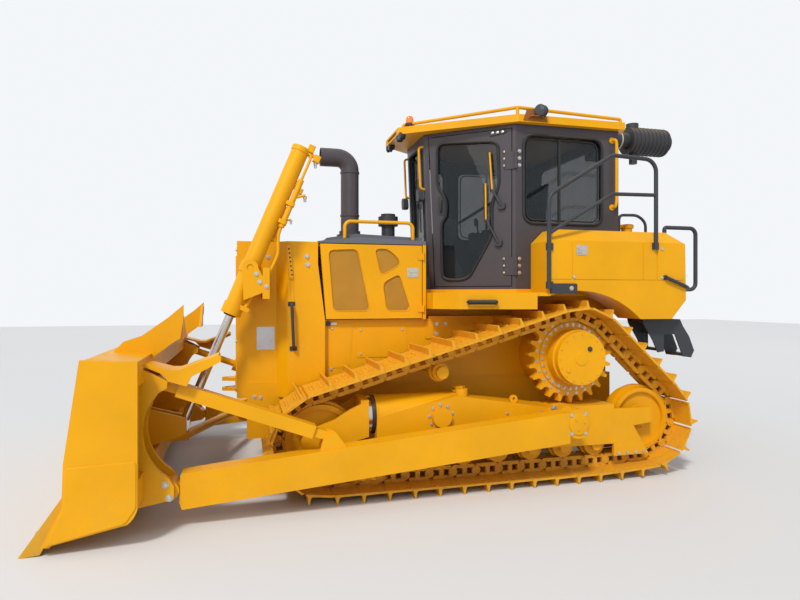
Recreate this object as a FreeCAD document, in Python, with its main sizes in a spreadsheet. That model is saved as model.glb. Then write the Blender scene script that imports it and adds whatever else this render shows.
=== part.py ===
import FreeCAD, Part
import Sketcher
import math
import os
import re

# Crawler dozer with an elevated sprocket, built as separate pieces.
# Millimetres. +X forward, +Y to the machine's left, +Z up, ground at z = 0.
# Lengths along X in the table count from the sprocket centre. Every piece is then
# shifted by one value, so that the origin lies under the middle of the machine.

os.makedirs("parts", exist_ok=True)
doc = FreeCAD.newDocument("dozer")
dims = doc.addObject("Spreadsheet::Sheet", "dims")

# Driving dimensions: name, value
SIZES = (
    # whole machine
    ("front_reach", 4098), ("rear_reach", 1475), ("fit_gap", 0.3),
    # tracks
    ("track_centre", 940), ("shoe_width", 560), ("link_pitch", 203.2), ("shoe_plate", 15),
    ("grouser_height", 60), ("grouser_thick", 22), ("rail_rise", 50), ("rail_drop", 55),
    ("rail_inner", 42), ("rail_thick", 38), ("bushing_radius", 29),
    # sprocket, idlers and rollers
    ("sprocket_height", 1049), ("sprocket_pitch_radius", 376), ("sprocket_tip_radius", 405),
    ("sprocket_teeth", 23), ("tooth_gap_half", 47), ("seat_ring_wide", 38),
    ("seat_ring_half", 46), ("sprocket_half", 34), ("sprocket_seat_radius", 262),
    ("idler_radius", 275), ("idler_half", 84), ("idler_flange", 22), ("idler_web_half", 30),
    ("idler_rim", 40), ("idler_dish", 30), ("idler_hub_radius", 62), ("idler_hub_half", 120),
    ("front_idler_reach", 2205), ("rear_idler_reach", 670), ("rear_idler_lift", 25),
    ("roller_radius", 100), ("roller_first", -203), ("roller_step", 304.8), ("roller_count", 7),
    ("roller_half", 84), ("roller_flange", 16), ("roller_shaft_radius", 42),
    ("carrier_reach", 1218), ("carrier_radius", 70),
    # final drive
    ("drive_radius", 300), ("drive_inner", 560.3), ("drive_cover_step", 22),
    ("drive_outer", 1100), ("drive_cap_step", 12), ("drive_cap_outer", 1160),
    # track frames
    ("tube_radius", 155), ("tube_height", 622), ("tube_front", 1771), ("tube_rear", 1000),
    ("sleeve_front", 1835), ("sleeve_radius", 146), ("frame_half", 160), ("frame_plate", 30),
    ("frame_low", 400), ("frame_rear_top", 634), ("frame_step_reach", 280), ("frame_tail", -350),
    ("guard_low", 290), ("pivot_reach", 1241), ("pivot_height", 603), ("pivot_radius", 70),
    ("pivot_cover_radius", 78), ("pivot_cover_outer", 1150), ("fork_block", 1900),
    ("eye_radius", 13), ("eye_lug_reach", 565), ("eye_lug_height", 705), ("eye_lug_radius", 34),
    # main frame and housing
    ("rail_low", 450), ("rail_high", 850), ("rail_in", 380), ("rail_out", 540),
    ("body_half", 560), ("body_front", 2760), ("body_rear", -620), ("belly_height", 385),
    ("housing_top", 1400), ("housing_front", 1180), ("bar_reach", 2020),
    ("bar_half", 65), ("bar_height", 560), ("skirt_top", 1376), ("skirt_thick", 30),
    ("drawbar_end", -905), ("drawbar_low", 520), ("drawbar_thick", 60), ("drawbar_half", 190),
    ("drawbar_gap", 90), ("drawbar_pin_radius", 26), ("drawbar_pin_reach", -840),
    # engine
    ("engine_front", 2080), ("engine_rear", 1262), ("engine_half", 379.7), ("engine_low", 700),
    ("engine_high", 1780),
    # nose with the radiator
    ("nose_front", 2843), ("nose_step", 2520), ("nose_turn", 2430), ("nose_half", 620),
    ("nose_front_half", 530), ("nose_low", 727), ("nose_high", 2040), ("nose_wall", 25),
    ("nose_seam_low", 2118), ("nose_seam_high", 2178), ("nose_rear_low", 1376),
    ("grille_half", 420), ("grille_low", 860), ("grille_high", 1900), ("grille_thick", 14),
    ("grille_slot", 26), ("grille_slot_count", 16), ("grille_slot_half", 380),
    ("tow_pin_radius", 24), ("tow_height", 780), ("tow_reach", 2935), ("tow_lug", 60),
    # lift cylinder yokes
    ("lift_side", 750), ("trunnion_reach", 2738), ("trunnion_height", 1804),
    ("trunnion_radius", 26), ("yoke_thick", 28), ("yoke_radius", 62), ("yoke_gap", 88),
    # hood
    ("hood_rear", 1222), ("hood_peak", 1830), ("hood_half", 620), ("hood_rear_top", 2066),
    ("hood_peak_top", 2090), ("hood_front_top", 2048), ("hood_plate", 30), ("hood_crown", 40),
    ("hood_crown_half", 500), ("door_low", 1384), ("door_high", 2026), ("door_thick", 34),
    ("door_gap", 8), ("door_front_low", 2108), ("engine_hinge_reach", 1248),
    ("engine_hinge_side", 630.3), ("door_front_high", 2160),
    # exhaust and air intake
    ("stack_reach", 1851), ("stack_side", 300), ("stack_radius", 82), ("stack_top", 2720),
    ("stack_bend", 115), ("stack_wall", 4), ("stack_mouth", 2120), ("cleaner_reach", 1480),
    ("cleaner_side", 250), ("cleaner_radius", 92), ("cleaner_top", 2345),
    # hood handrails
    ("hood_rail_front", 1937), ("hood_rail_rear", 1322), ("hood_rail_side", 545),
    ("hood_rail_top", 2232), ("hood_rail_radius", 15), ("hood_rail_bend", 55),
    # cab
    ("cab_floor", 1642), ("cab_top", 3100), ("cab_front_low", 1085), ("cab_front_high", 1145),
    ("cab_front_half", 300), ("cab_pillar", 470), ("cab_half", 860), ("cab_rear", -560),
    ("cab_wall", 46), ("deck_inner", 430), ("frame_inner", 426),
    ("cab_floor_plate", 40), ("glass_thick", 6),
    ("side_glass_front", 395), ("side_glass_rear", -385), ("side_glass_low", 2225),
    ("side_glass_high", 3010), ("glass_corner", 70), ("wind_half", 215), ("wind_low", 1850),
    ("wind_high", 3000), ("rear_glass_half", 620), ("rear_glass_low", 2225),
    ("cab_door_low", 1672), ("cab_door_high", 3060), ("cab_door_rear", 500),
    ("cab_door_front_low", 1045), ("cab_door_front_high", 1105), ("cab_door_gap", 7),
    ("cab_hinge_reach", 472.7), ("cab_hinge_side", 871), ("cab_hinge_low", 1766),
    ("cab_hinge_high", 2702), ("cab_hinge_tall", 156), ("hinge_radius", 11),
    # roof
    ("roof_low", 3100.3), ("roof_high", 3165), ("roof_panel_high", 3190), ("roof_front", 1385),
    ("roof_front_half", 250), ("roof_half", 925), ("roof_rear", -625), ("roof_rear_half", 830),
    ("roof_inset", 150), ("roof_shoulder", 1195), ("roof_shoulder_half", 400),
    ("lamp_bay_depth", 130), ("lamp_bay_half", 185), ("lamp_bay_wall", 16),
    ("roof_rail_height", 3200), ("roof_rail_radius", 15),
    # seat and console
    ("seat_reach", 130), ("seat_height", 2120), ("seat_half", 250), ("seat_deep", 480),
    ("seat_cushion", 110), ("seat_back_top", 2760), ("console_front", 880),
    ("console_half", 200),
    # fenders with their boxes, rear tank
    ("fender_side", 1200), ("fender_front", 331), ("fender_rear", -864), ("fender_end", -1000),
    ("fender_high", 2148), ("fender_shoulder", 2040), ("fender_low", 1380),
    ("fender_arch_rear", -545), ("fender_arch_radius", 860),
    ("fender_arch_low", 1470), ("fender_inner", 872), ("fender_bevel", 95), ("tank_front", -600),
    ("tank_rear", -1000), ("deck_low", 1470), ("deck_plate", 30), ("deck_skirt", 430),
    ("track_inner", 640), ("deck_high", 1610), ("deck_front", 1214),
    ("filler_radius", 52), ("filler_side", 640), ("filler_reach", -800), ("filler_high", 2262),
    # handrails
    ("rail_side", 1219), ("rail_radius", 18), ("rail_front", 341), ("rail_front_high", 2417),
    ("rail_mid", -255), ("rail_mid_high", 2781), ("rail_rear", -686), ("rail_rear_high", 2762),
    ("rail_foot", 1640), ("rail_rear_foot", 1985), ("rail_low_front", 2100),
    ("rail_low_mid", 2450), ("rail_lug", 60),
    ("grab_side", 1080), ("grab_front", -880), ("grab_back", -1211), ("grab_high", 2198),
    ("grab_low", 1640),
    # rear steps
    ("step_side_in", 860), ("step_side_out", 1090), ("step_plate", 12), ("step_reach", -1189),
    ("step_front", -649), ("step_low", 1022), ("step_tread", 24),
    # rear filter unit on the cab
    ("filter_side", 350), ("filter_height", 3168), ("filter_radius", 136), ("filter_front", -1000),
    ("filter_rear", -1430), ("filter_neck_radius", 80), ("filter_cap_radius", 62),
    # lift frame: arms, blade, braces
    ("lift_reach", 186), ("lift_height", 554), ("arm_inner", 1272), ("arm_outer", 1422),
    ("arm_rear", 262), ("arm_rear_high", 651), ("arm_rear_low", 402), ("arm_front_high", 392),
    ("arm_front", 3078), ("arm_tip_high", 366), ("arm_tip", 3190), ("arm_tip_low", 132),
    ("ball_neck_radius", 40), ("ball_inner", 1134), ("socket_radius", 118),
    ("joint_reach", 3266), ("joint_height", 268), ("joint_radius", 60),
    ("blade_half", 1700), ("end_plate", 40), ("blade_back", 3424), ("blade_top", 1185),
    ("blade_top_reach", 3754), ("blade_back_top", 1168), ("blade_mid_reach", 3842),
    ("blade_mid_height", 560), ("blade_low_reach", 3851), ("blade_low_height", 290),
    ("blade_toe_reach", 3969), ("blade_toe_height", 60), ("blade_heel_reach", 3484),
    ("blade_heel_height", 160), ("blade_back_low", 256), ("mold_thick", 28),
    ("mold_radius", 1250), ("beam_top_low", 1010), ("beam_low_high", 420),
    ("web_thick", 40), ("web_side_in", 1262), ("web_side_out", 1432),
    ("web_bow", 378), ("fin_return_low", 1262), ("fin_return_in", 770),
    ("brace_lug_reach", 3345), ("brace_lug_height", 985), ("edge_tip_reach", 4098),
    ("brace_rear_reach", 2173), ("brace_rear_height", 556), ("brace_half", 58),
    ("brace_side", 1347), ("brace_eye_half", 40), ("brace_eye_radius", 50),
    ("brace_depth", 92), ("brace_wall", 14), ("brace_clear", 130), ("tilt_barrel_radius", 80),
    ("tilt_share", 0.62), ("tilt_rod_radius", 36), ("link_radius", 38), ("link_lug", 60),
    ("link_left_reach", 3260),
    ("link_left_side", 420), ("link_left_height", 420), ("link_right_reach", 2820),
    ("link_right_height", 330), ("fin_side", 1094), ("fin_thick", 25), ("fin_high", 1515),
    # lift cylinders
    ("barrel_radius", 70), ("barrel_bore", 56), ("barrel_up", 1075), ("barrel_down", 398),
    ("gland_radius", 80), ("rod_radius", 32), ("rod_length", 1500), ("eye_reach", 3248),
    ("eye_height", 575), ("rod_eye_radius", 55), ("rod_eye_half", 37), ("rod_eye_bore", 22),
    ("lug_gap", 45), ("lug_plate", 26),
)
for row, (name, size) in enumerate(SIZES, start=1):
    dims.set("A%d" % row, name)
    dims.set("B%d" % row, str(size))
    dims.setAlias("B%d" % row, name)
doc.recompute()


def size(expression):
    """The number that an expression over the sheet's names has now."""
    return float(dims.evalExpression(str(expression)))


def bound(expression):
    """The same expression with the sheet named before each of its names."""
    return re.sub(r"\b([a-z][a-z0-9_]*)\b(?!\()", r"dims.\1", str(expression))


SHIFT = "(rear_reach - front_reach) / 2"
SUBPARTS = []


def settle(item, label):
    """Name a piece and place it in the machine's frame."""
    item.Label = label
    item.setExpression("Placement.Base.x", bound(SHIFT))
    return item


def new_body(label):
    body = doc.addObject("PartDesign::Body", label)
    body.AllowCompound = True
    return settle(body, label)


# The three planes: role in the body's origin, sign of the sketch normal along its axis
SIDE = ("XZ_Plane", -1)
TOP = ("XY_Plane", 1)
FRONT = ("YZ_Plane", 1)


def new_sketch(body, plane, outline, height):
    """A closed outline of (first, second) or (first, second, radius of the next arc)."""
    sketch = body.newObject("Sketcher::SketchObject", "outline")
    role, sign = plane
    origin_plane = [item for item in body.Origin.OriginFeatures if item.Role == role][0]
    sketch.AttachmentSupport = [(origin_plane, "")]
    sketch.MapMode = "FlatFace"
    sketch.setExpression("AttachmentOffset.Base.z", bound("%d * (%s)" % (sign, height)))
    if outline[0] == "circle":
        draw_circle(sketch, outline[1:])
    else:
        draw_outline(sketch, outline)
    return sketch


def draw_circle(sketch, circle):
    first, second, radius = circle
    centre = FreeCAD.Vector(size(first), size(second), 0)
    sketch.addGeometry(Part.Circle(centre, FreeCAD.Vector(0, 0, 1), size(radius)), False)
    for kind, value in (("DistanceX", first), ("DistanceY", second)):
        index = sketch.addConstraint(Sketcher.Constraint(kind, -1, 1, 0, 3, size(value)))
        sketch.setExpression("Constraints[%d]" % index, bound(value))
    index = sketch.addConstraint(Sketcher.Constraint("Radius", 0, size(radius)))
    sketch.setExpression("Constraints[%d]" % index, bound(radius))


def arc_through(start, end, radius):
    """An arc between two points; a positive radius bulges to the left of the way."""
    chord = end - start
    half = chord.Length / 2
    left = FreeCAD.Vector(-chord.y, chord.x, 0).normalize()
    rise = abs(radius) - math.sqrt(radius ** 2 - half ** 2)
    middle = (start + end) / 2 + left * math.copysign(rise, radius)
    if radius > 0:
        start, end = end, start
    return Part.Arc(start, middle, end)


def draw_outline(sketch, outline):
    corners = [FreeCAD.Vector(size(point[0]), size(point[1]), 0) for point in outline]
    count = len(outline)
    arcs = []
    for index, point in enumerate(outline):
        start, end = corners[index], corners[(index + 1) % count]
        if len(point) == 3:
            radius = size(point[2])
            arc = arc_through(start, end, radius)
            sketch.addGeometry(arc, False)
            arcs.append((index, point[2], radius, arc))
        else:
            sketch.addGeometry(Part.LineSegment(start, end), False)
    # An arc may be stored the other way round, so its own end at each corner is looked up
    first_end = [1 if piece.StartPoint.distanceToPoint(corner) < 1e-6 else 2
                 for piece, corner in zip(sketch.Geometry, corners)]
    for index in range(count):
        following = (index + 1) % count
        sketch.addConstraint(Sketcher.Constraint("Coincident", index, 3 - first_end[index],
                                                 following, first_end[following]))
    for index, point in enumerate(outline):
        for kind, value in (("DistanceX", point[0]), ("DistanceY", point[1])):
            constraint = Sketcher.Constraint(kind, -1, 1, index, first_end[index], size(value))
            number = sketch.addConstraint(constraint)
            sketch.setExpression("Constraints[%d]" % number, bound(value))
    for index, expression, radius, arc in arcs:
        number = sketch.addConstraint(Sketcher.Constraint("Radius", index, abs(radius)))
        sketch.setExpression("Constraints[%d]" % number, bound("abs(%s)" % expression))


def pad(body, plane, outline, low, high):
    """Add a prism between two heights along the plane's axis."""
    start = high if plane is SIDE else low
    feature = body.newObject("PartDesign::Pad", "pad")
    feature.Profile = new_sketch(body, plane, outline, start)
    feature.setExpression("Length", bound("(%s) - (%s)" % (high, low)))
    return feature


def cut(body, plane, outline, low, high):
    """Remove a prism between two heights along the plane's axis."""
    start = low if plane is SIDE else high
    feature = body.newObject("PartDesign::Pocket", "pocket")
    feature.Profile = new_sketch(body, plane, outline, start)
    feature.setExpression("Length", bound("(%s) - (%s)" % (high, low)))
    return feature


def both(operation, body, outline, low, high):
    """The same side outline on the left and on the right."""
    operation(body, SIDE, outline, low, high)
    return operation(body, SIDE, outline, "-(%s)" % high, "-(%s)" % low)


def box(low_first, high_first, low_second, high_second):
    return [(low_first, low_second), (high_first, low_second),
            (high_first, high_second), (low_first, high_second)]


def rounded(low_first, high_first, low_second, high_second, corner):
    """A rectangle with four rounded corners."""
    a, b, c, d, r = low_first, high_first, low_second, high_second, corner
    turn = "-(%s)" % r
    return [("%s + %s" % (a, r), c), ("%s - %s" % (b, r), c, turn),
            (b, "%s + %s" % (c, r)), (b, "%s - %s" % (d, r), turn),
            ("%s - %s" % (b, r), d), ("%s + %s" % (a, r), d, turn),
            (a, "%s - %s" % (d, r)), (a, "%s + %s" % (c, r), turn)]


def softened(corners, inset=0):
    """An outline with its corners (first, second, radius) rounded, drawn in by inset."""
    outline = []
    count = len(corners)
    for index, (first, second, radius) in enumerate(corners):
        corner = FreeCAD.Vector(first, second, 0)
        before = (FreeCAD.Vector(*corners[index - 1][:2], 0) - corner).normalize()
        after = (FreeCAD.Vector(*corners[(index + 1) % count][:2], 0) - corner).normalize()
        turn = -1 if before.cross(after).z < 0 else 1
        radius = radius + turn * inset
        reach = radius / math.tan(before.getAngle(after) / 2)
        # Both neighbouring edges move inwards, to the left of their own direction
        inward = FreeCAD.Vector(before.y - after.y, after.x - before.x, 0)
        corner = corner + inward * (inset / (1 - before.dot(after)))
        start, end = corner + before * reach, corner + after * reach
        outline.append(("%.3f" % start.x, "%.3f" % start.y, "%.3f" % (turn * radius)))
        outline.append(("%.3f" % end.x, "%.3f" % end.y))
    return outline


def mirrored(source, label):
    """The right-hand twin of a left-hand piece."""
    twin = doc.addObject("Part::Mirroring", label)
    twin.Source = source
    twin.Normal = FreeCAD.Vector(0, 1, 0)
    twin.Label = label
    return twin


def pair(name, build):
    """A left-hand sub-part and its mirrored twin on the right."""
    left = build(name + "_left")
    SUBPARTS.extend([left, mirrored(left, name + "_right")])


def group(name, sided, central):
    """One sub-part of several pieces: some on both sides, some in the middle."""
    pieces = []
    for number, build in enumerate(sided):
        left = build("%s_piece_%d" % (name, number))
        pieces += [left, mirrored(left, "%s_twin_%d" % (name, number))]
    for number, build in enumerate(central):
        pieces.append(build("%s_middle_%d" % (name, number)))
    whole = doc.addObject("Part::Compound", name)
    whole.Links = pieces
    whole.Label = name
    SUBPARTS.append(whole)


def shaped(label, shape):
    """A sub-part whose solid is worked out here from the sheet's sizes."""
    feature = doc.addObject("Part::Feature", label)
    feature.Shape = Part.makeCompound(shape.Solids)
    return settle(feature, label)


def vector(first, second, third):
    return FreeCAD.Vector(size(first), size(second), size(third))


def tube(points, radius, bend):
    """A round bar along straight runs with rounded bends."""
    places = [vector(*point) for point in points]
    edges = []
    start = places[0]
    for before, corner, after in zip(places, places[1:], places[2:]):
        into = (corner - before).normalize()
        out = (after - corner).normalize()
        turn = into.getAngle(out)
        reach = min(bend * math.tan(turn / 2), 0.45 * (corner - before).Length,
                    0.45 * (after - corner).Length)
        entry, leave = corner - into * reach, corner + out * reach
        radius_here = reach / math.tan(turn / 2)
        towards = (out - into).normalize()
        centre = corner + towards * (radius_here / math.cos(turn / 2))
        middle = centre - towards * radius_here
        edges.append(Part.LineSegment(start, entry).toShape())
        edges.append(Part.Arc(entry, middle, leave).toShape())
        start = leave
    edges.append(Part.LineSegment(start, places[-1]).toShape())
    path = Part.Wire(edges)
    direction = (places[1] - places[0]).normalize()
    ring = Part.Wire([Part.Circle(places[0], direction, radius).toShape()])
    return path.makePipeShell([ring], True, False)


def rod_between(start, end, radius):
    axis = end - start
    return Part.makeCylinder(radius, axis.Length, start, axis)


# Track loop. The chain's pin line runs round circles given as centre x, centre z, radius.
def track_circles():
    pin_to_ground = size("rail_rise + shoe_plate + grouser_height")
    reach = size("rail_drop")
    idler = size("idler_radius") + reach
    roller = size("roller_radius") + reach
    low = pin_to_ground
    return [
        (size("front_idler_reach"), low + idler, idler),
        (size("roller_first"), low + roller, roller),
        (-size("rear_idler_reach"), low + idler + size("rear_idler_lift"), idler),
        (0.0, size("sprocket_height"), size("sprocket_pitch_radius")),
    ]


def belt(circles, offset):
    """The closed line round the circles, taken clockwise, each radius grown by offset."""
    edges = []
    count = len(circles)
    touches = []
    for index in range(count):
        x1, z1, r1 = circles[index]
        x2, z2, r2 = circles[(index + 1) % count]
        r1, r2 = r1 + offset, r2 + offset
        span = math.hypot(x2 - x1, z2 - z1)
        along = math.atan2(z2 - z1, x2 - x1)
        lean = along + math.acos((r1 - r2) / span)
        normal = (math.cos(lean), math.sin(lean))
        touches.append(((x1 + r1 * normal[0], z1 + r1 * normal[1]),
                        (x2 + r2 * normal[0], z2 + r2 * normal[1])))
    point = lambda place: FreeCAD.Vector(place[0], 0, place[1])
    for index in range(count):
        leave, arrive = touches[index]
        following = touches[(index + 1) % count][0]
        x, z, r = circles[(index + 1) % count]
        start = math.atan2(arrive[1] - z, arrive[0] - x)
        end = math.atan2(following[1] - z, following[0] - x)
        middle = start - ((start - end) % (2 * math.pi)) / 2
        r += offset
        edges.append(Part.LineSegment(point(leave), point(arrive)).toShape())
        edges.append(Part.Arc(point(arrive), point((x + r * math.cos(middle),
                     z + r * math.sin(middle))), point(following)).toShape())
    return Part.Wire(edges)


def pin_places():
    """The chain's pins at even steps along the loop."""
    loop = belt(track_circles(), 0)
    count = round(loop.Length / size("link_pitch"))
    return loop.discretize(Number=count + 1)[:-1]


# Share of a shoe's pitch left open at each end, and before its grouser
SHOE_GAP = 0.04
GROUSER_PLACE = 0.12


def shoe_outline(pins):
    """Two closed lines that bound the shoes: outer with a grouser on each shoe, and inner."""
    rise, plate = size("rail_rise"), size("shoe_plate")
    tall, thick = size("grouser_height"), size("grouser_thick")
    outer, inner = [], []
    count = len(pins)
    middle = sum(pins, FreeCAD.Vector()) / count
    for index, pin in enumerate(pins):
        following = pins[(index + 1) % count]
        along = (following - pin).normalize()
        out = FreeCAD.Vector(along.z, 0, -along.x)
        if out.dot(pin - middle) < 0:
            out = out * -1
        length = (following - pin).Length
        gap, ledge = SHOE_GAP * length, GROUSER_PLACE * length
        inner += [pin + along * gap + out * rise, following - along * gap + out * rise]
        face = rise + plate
        outer += [pin + along * gap + out * face,
                  pin + along * ledge + out * face,
                  pin + along * ledge + out * (face + tall),
                  pin + along * (ledge + thick) + out * (face + tall),
                  pin + along * (ledge + thick) + out * face,
                  following - along * gap + out * face]
    return outer, inner


def prism(wire, low, high):
    """A closed line at y = 0 as a solid between two values of y."""
    face = Part.Face(wire)
    face.translate(FreeCAD.Vector(0, low, 0))
    return face.extrude(FreeCAD.Vector(0, high - low, 0))


def track(label):
    """Fixed loop: two rails round the wheels, and the band of shoes outside them."""
    half = size("shoe_width / 2")
    centre = size("track_centre")
    outer, inner = shoe_outline(pin_places())
    low, high = centre - half, centre + half
    shoes = prism(Part.makePolygon(outer + outer[:1]), low, high)
    shoes = shoes.cut(prism(Part.makePolygon(inner + inner[:1]), low - 10, high + 10))
    circles = track_circles()
    rails = []
    inner_side, thick = size("rail_inner"), size("rail_thick")
    for start in (centre + inner_side, centre - inner_side - thick):
        rail = prism(belt(circles, size("rail_rise + 2")), start, start + thick)
        hollow = prism(belt(circles, -size("rail_drop")), start - 10, start + thick + 10)
        rails.append(rail.cut(hollow))
    return shaped(label, shoes.fuse(rails).removeSplitter())


def sprocket(label):
    body = new_body(label)
    side_low = "track_centre - sprocket_half"
    side_high = "track_centre + sprocket_half"
    pad(body, SIDE, ("circle", "0", "sprocket_height", "sprocket_tip_radius"),
        side_low, side_high)
    # Each gap between two teeth: a round seat for the bushing, wider towards the tips
    pitch_line = "sprocket_height + sprocket_pitch_radius"
    seat = cut(body, SIDE, ("circle", "0", pitch_line, "bushing_radius + 4"), side_low,
               side_high)
    rim = "sprocket_height + sprocket_tip_radius + 5"
    flank = cut(body, SIDE, [("-(bushing_radius + 3)", pitch_line + " - 4"),
                             ("bushing_radius + 3", pitch_line + " - 4"),
                             ("tooth_gap_half", rim), ("-tooth_gap_half", rim)],
                side_low, side_high)
    doc.recompute()
    teeth = body.newObject("PartDesign::PolarPattern", "teeth")
    teeth.Originals = [seat, flank]
    axis_sketch = body.newObject("Sketcher::SketchObject", "axis")
    plane = [item for item in body.Origin.OriginFeatures if item.Role == "XZ_Plane"][0]
    axis_sketch.AttachmentSupport = [(plane, "")]
    axis_sketch.MapMode = "FlatFace"
    axis_sketch.setExpression("AttachmentOffset.Base.y", bound("sprocket_height"))
    teeth.Axis = (axis_sketch, ["N_Axis"])
    teeth.Angle = 360
    teeth.setExpression("Occurrences", bound("sprocket_teeth"))
    body.Tip = teeth
    doc.recompute()
    # Thicker ring inside the teeth, bored to sit on the hub
    pad(body, SIDE, ("circle", "0", "sprocket_height", "sprocket_seat_radius + seat_ring_wide"), side_low,
        "track_centre + seat_ring_half")
    cut(body, SIDE, ("circle", "0", "sprocket_height", "sprocket_seat_radius"),
        side_low, "track_centre + seat_ring_half")
    return body


def final_drive(label):
    """Hub that carries the sprocket, with its round cover."""
    body = new_body(label)
    centre = ("0", "sprocket_height")
    cover = "sprocket_seat_radius - drive_cover_step"
    pad(body, SIDE, ("circle",) + centre + ("drive_radius",), "drive_inner",
        "track_centre - sprocket_half - fit_gap")
    pad(body, SIDE, ("circle",) + centre + ("sprocket_seat_radius - fit_gap",),
        "track_centre - sprocket_half - fit_gap", "track_centre + sprocket_half + 6")
    pad(body, SIDE, ("circle",) + centre + (cover,),
        "track_centre + sprocket_half + 6", "drive_outer")
    pad(body, SIDE, ("circle",) + centre + (cover + " - drive_cap_step",), "drive_outer",
        "drive_cap_outer")
    return body


def wheel(body, reach, height, radius, half, flange, web_half):
    """A chain wheel: a tread and a flange round its middle."""
    low, high = "track_centre - %s" % half, "track_centre + %s" % half
    pad(body, SIDE, ("circle", reach, height, radius), low, high)
    pad(body, SIDE, ("circle", reach, height, "%s + %s" % (radius, flange)),
        "track_centre - %s" % web_half, "track_centre + %s" % web_half)


PIN_HEIGHT = "rail_rise + shoe_plate + grouser_height"
IDLER_HEIGHT = PIN_HEIGHT + " + rail_drop + idler_radius"
ROLLER_HEIGHT = PIN_HEIGHT + " + rail_drop + roller_radius"


def idlers(label):
    body = new_body(label)
    places = (("front_idler_reach", IDLER_HEIGHT),
              ("-rear_idler_reach", IDLER_HEIGHT + " + rear_idler_lift"))
    for reach, height in places:
        wheel(body, reach, height, "idler_radius - fit_gap", "idler_half", "idler_flange",
              "idler_web_half")
        # The rim stands proud of a dished web on both faces
        dish = ("circle", reach, height, "idler_radius - idler_rim")
        cut(body, SIDE, dish, "track_centre + idler_half - idler_dish",
            "track_centre + idler_half")
        cut(body, SIDE, dish, "track_centre - idler_half",
            "track_centre - idler_half + idler_dish")
        pad(body, SIDE, ("circle", reach, height, "idler_hub_radius"),
            "track_centre - idler_hub_half", "track_centre + idler_hub_half")
    return body


def carrier_height():
    """Height of the carrier roller that bears the upper run of the chain."""
    front, _, _, sprocket_circle = track_circles()
    x1, z1, r1 = sprocket_circle
    x2, z2, r2 = front
    span = math.hypot(x2 - x1, z2 - z1)
    lean = math.atan2(z2 - z1, x2 - x1) + math.acos((r1 - r2) / span)
    radius = size("carrier_radius + rail_drop + fit_gap")
    reach = size("carrier_reach")
    along = (reach - x1 - (r1 - radius) * math.cos(lean)) / math.cos(lean - math.pi / 2)
    return z1 + (r1 - radius) * math.sin(lean) + along * math.sin(lean - math.pi / 2)


def rollers(label):
    body = new_body(label)
    for number in range(int(size("roller_count"))):
        reach = "roller_first + %d * roller_step" % number
        wheel(body, reach, ROLLER_HEIGHT, "roller_radius - fit_gap", "roller_half",
              "roller_flange", "idler_web_half")
        pad(body, SIDE, ("circle", reach, ROLLER_HEIGHT, "roller_shaft_radius"),
            "track_centre - frame_half + frame_plate + fit_gap",
            "track_centre + frame_half - frame_plate - fit_gap")
    height = "%.4f" % carrier_height()
    wheel(body, "carrier_reach", height, "carrier_radius", "roller_half", "roller_flange",
          "idler_web_half")
    pad(body, SIDE, ("circle", "carrier_reach", height, "roller_shaft_radius"),
        "body_half + fit_gap", "track_centre + roller_half + 52")
    return body


def track_frame(label):
    body = new_body(label)
    inner, outer = "track_centre - frame_half", "track_centre + frame_half"
    # Box behind the tube, with its sloping top
    pad(body, SIDE, [("tube_front", "frame_low"), ("tube_front", "tube_height"),
                     ("tube_rear + 100", "tube_height + tube_radius - 12"),
                     ("frame_step_reach", "frame_rear_top"),
                     ("frame_tail", "frame_rear_top"), ("frame_tail", "frame_low")],
        inner, outer)
    pad(body, FRONT, ("circle", "track_centre", "tube_height", "tube_radius"),
        "tube_rear", "tube_front")
    # Side plates that hold the rollers and reach back to the rear idler
    plate = [("tube_front", "guard_low"), ("tube_front", "frame_low + 40"),
             ("frame_step_reach", "frame_low + 40"), ("frame_step_reach", "598"),
             ("-rear_idler_reach - 60", "592"), ("-rear_idler_reach - 60", "460"),
             ("-547", "439"), ("-700", "184"), ("frame_tail", "180"), ("frame_tail", "guard_low")]
    for low in (inner, outer + " - frame_plate"):
        pad(body, SIDE, plate, low, low + " + frame_plate")
    # Pivot cover, filler boss, lifting eye and its bore
    pad(body, SIDE, ("circle", "pivot_reach", "pivot_height", "pivot_cover_radius"),
        outer, "pivot_cover_outer")
    pad(body, TOP, ("circle", "1030", "track_centre + 60", "52"),
        "tube_height + tube_radius - 60", "tube_height + tube_radius + 32")
    pad(body, SIDE, ("circle", "eye_lug_reach", "eye_lug_height", "eye_lug_radius"),
        "track_centre + 60", "track_centre + 84")
    cut(body, SIDE, ("circle", "eye_lug_reach", "eye_lug_height + 4", "eye_radius"),
        "track_centre + 50", "track_centre + 94")
    # Ball stud that carries the push arm
    pad(body, SIDE, ("circle", "lift_reach", "lift_height", "socket_radius"), outer,
        "ball_inner + 20")
    pad(body, SIDE, ("circle", "lift_reach", "lift_height", "ball_neck_radius"),
        "ball_inner + 20", "arm_outer - 12")
    return body


def idler_fork(label):
    """Sleeve and sliding fork that carry the front idler."""
    body = new_body(label)
    inner, outer = "track_centre - frame_half", "track_centre + frame_half"
    pad(body, FRONT, ("circle", "track_centre", "tube_height", "sleeve_radius"),
        "tube_front + fit_gap", "sleeve_front + 5")
    pad(body, SIDE, box("sleeve_front", "fork_block", "474", "764"), inner, outer)
    arm = [("sleeve_front", "474"), ("2250", "372"), ("2350", "392"), ("2362", "470"),
           ("2330", "540"), ("2103", "621"), ("1986", "693"), ("sleeve_front", "764")]
    for low in (inner, outer + " - frame_plate"):
        pad(body, SIDE, arm, low, low + " + frame_plate")
    return body


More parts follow.
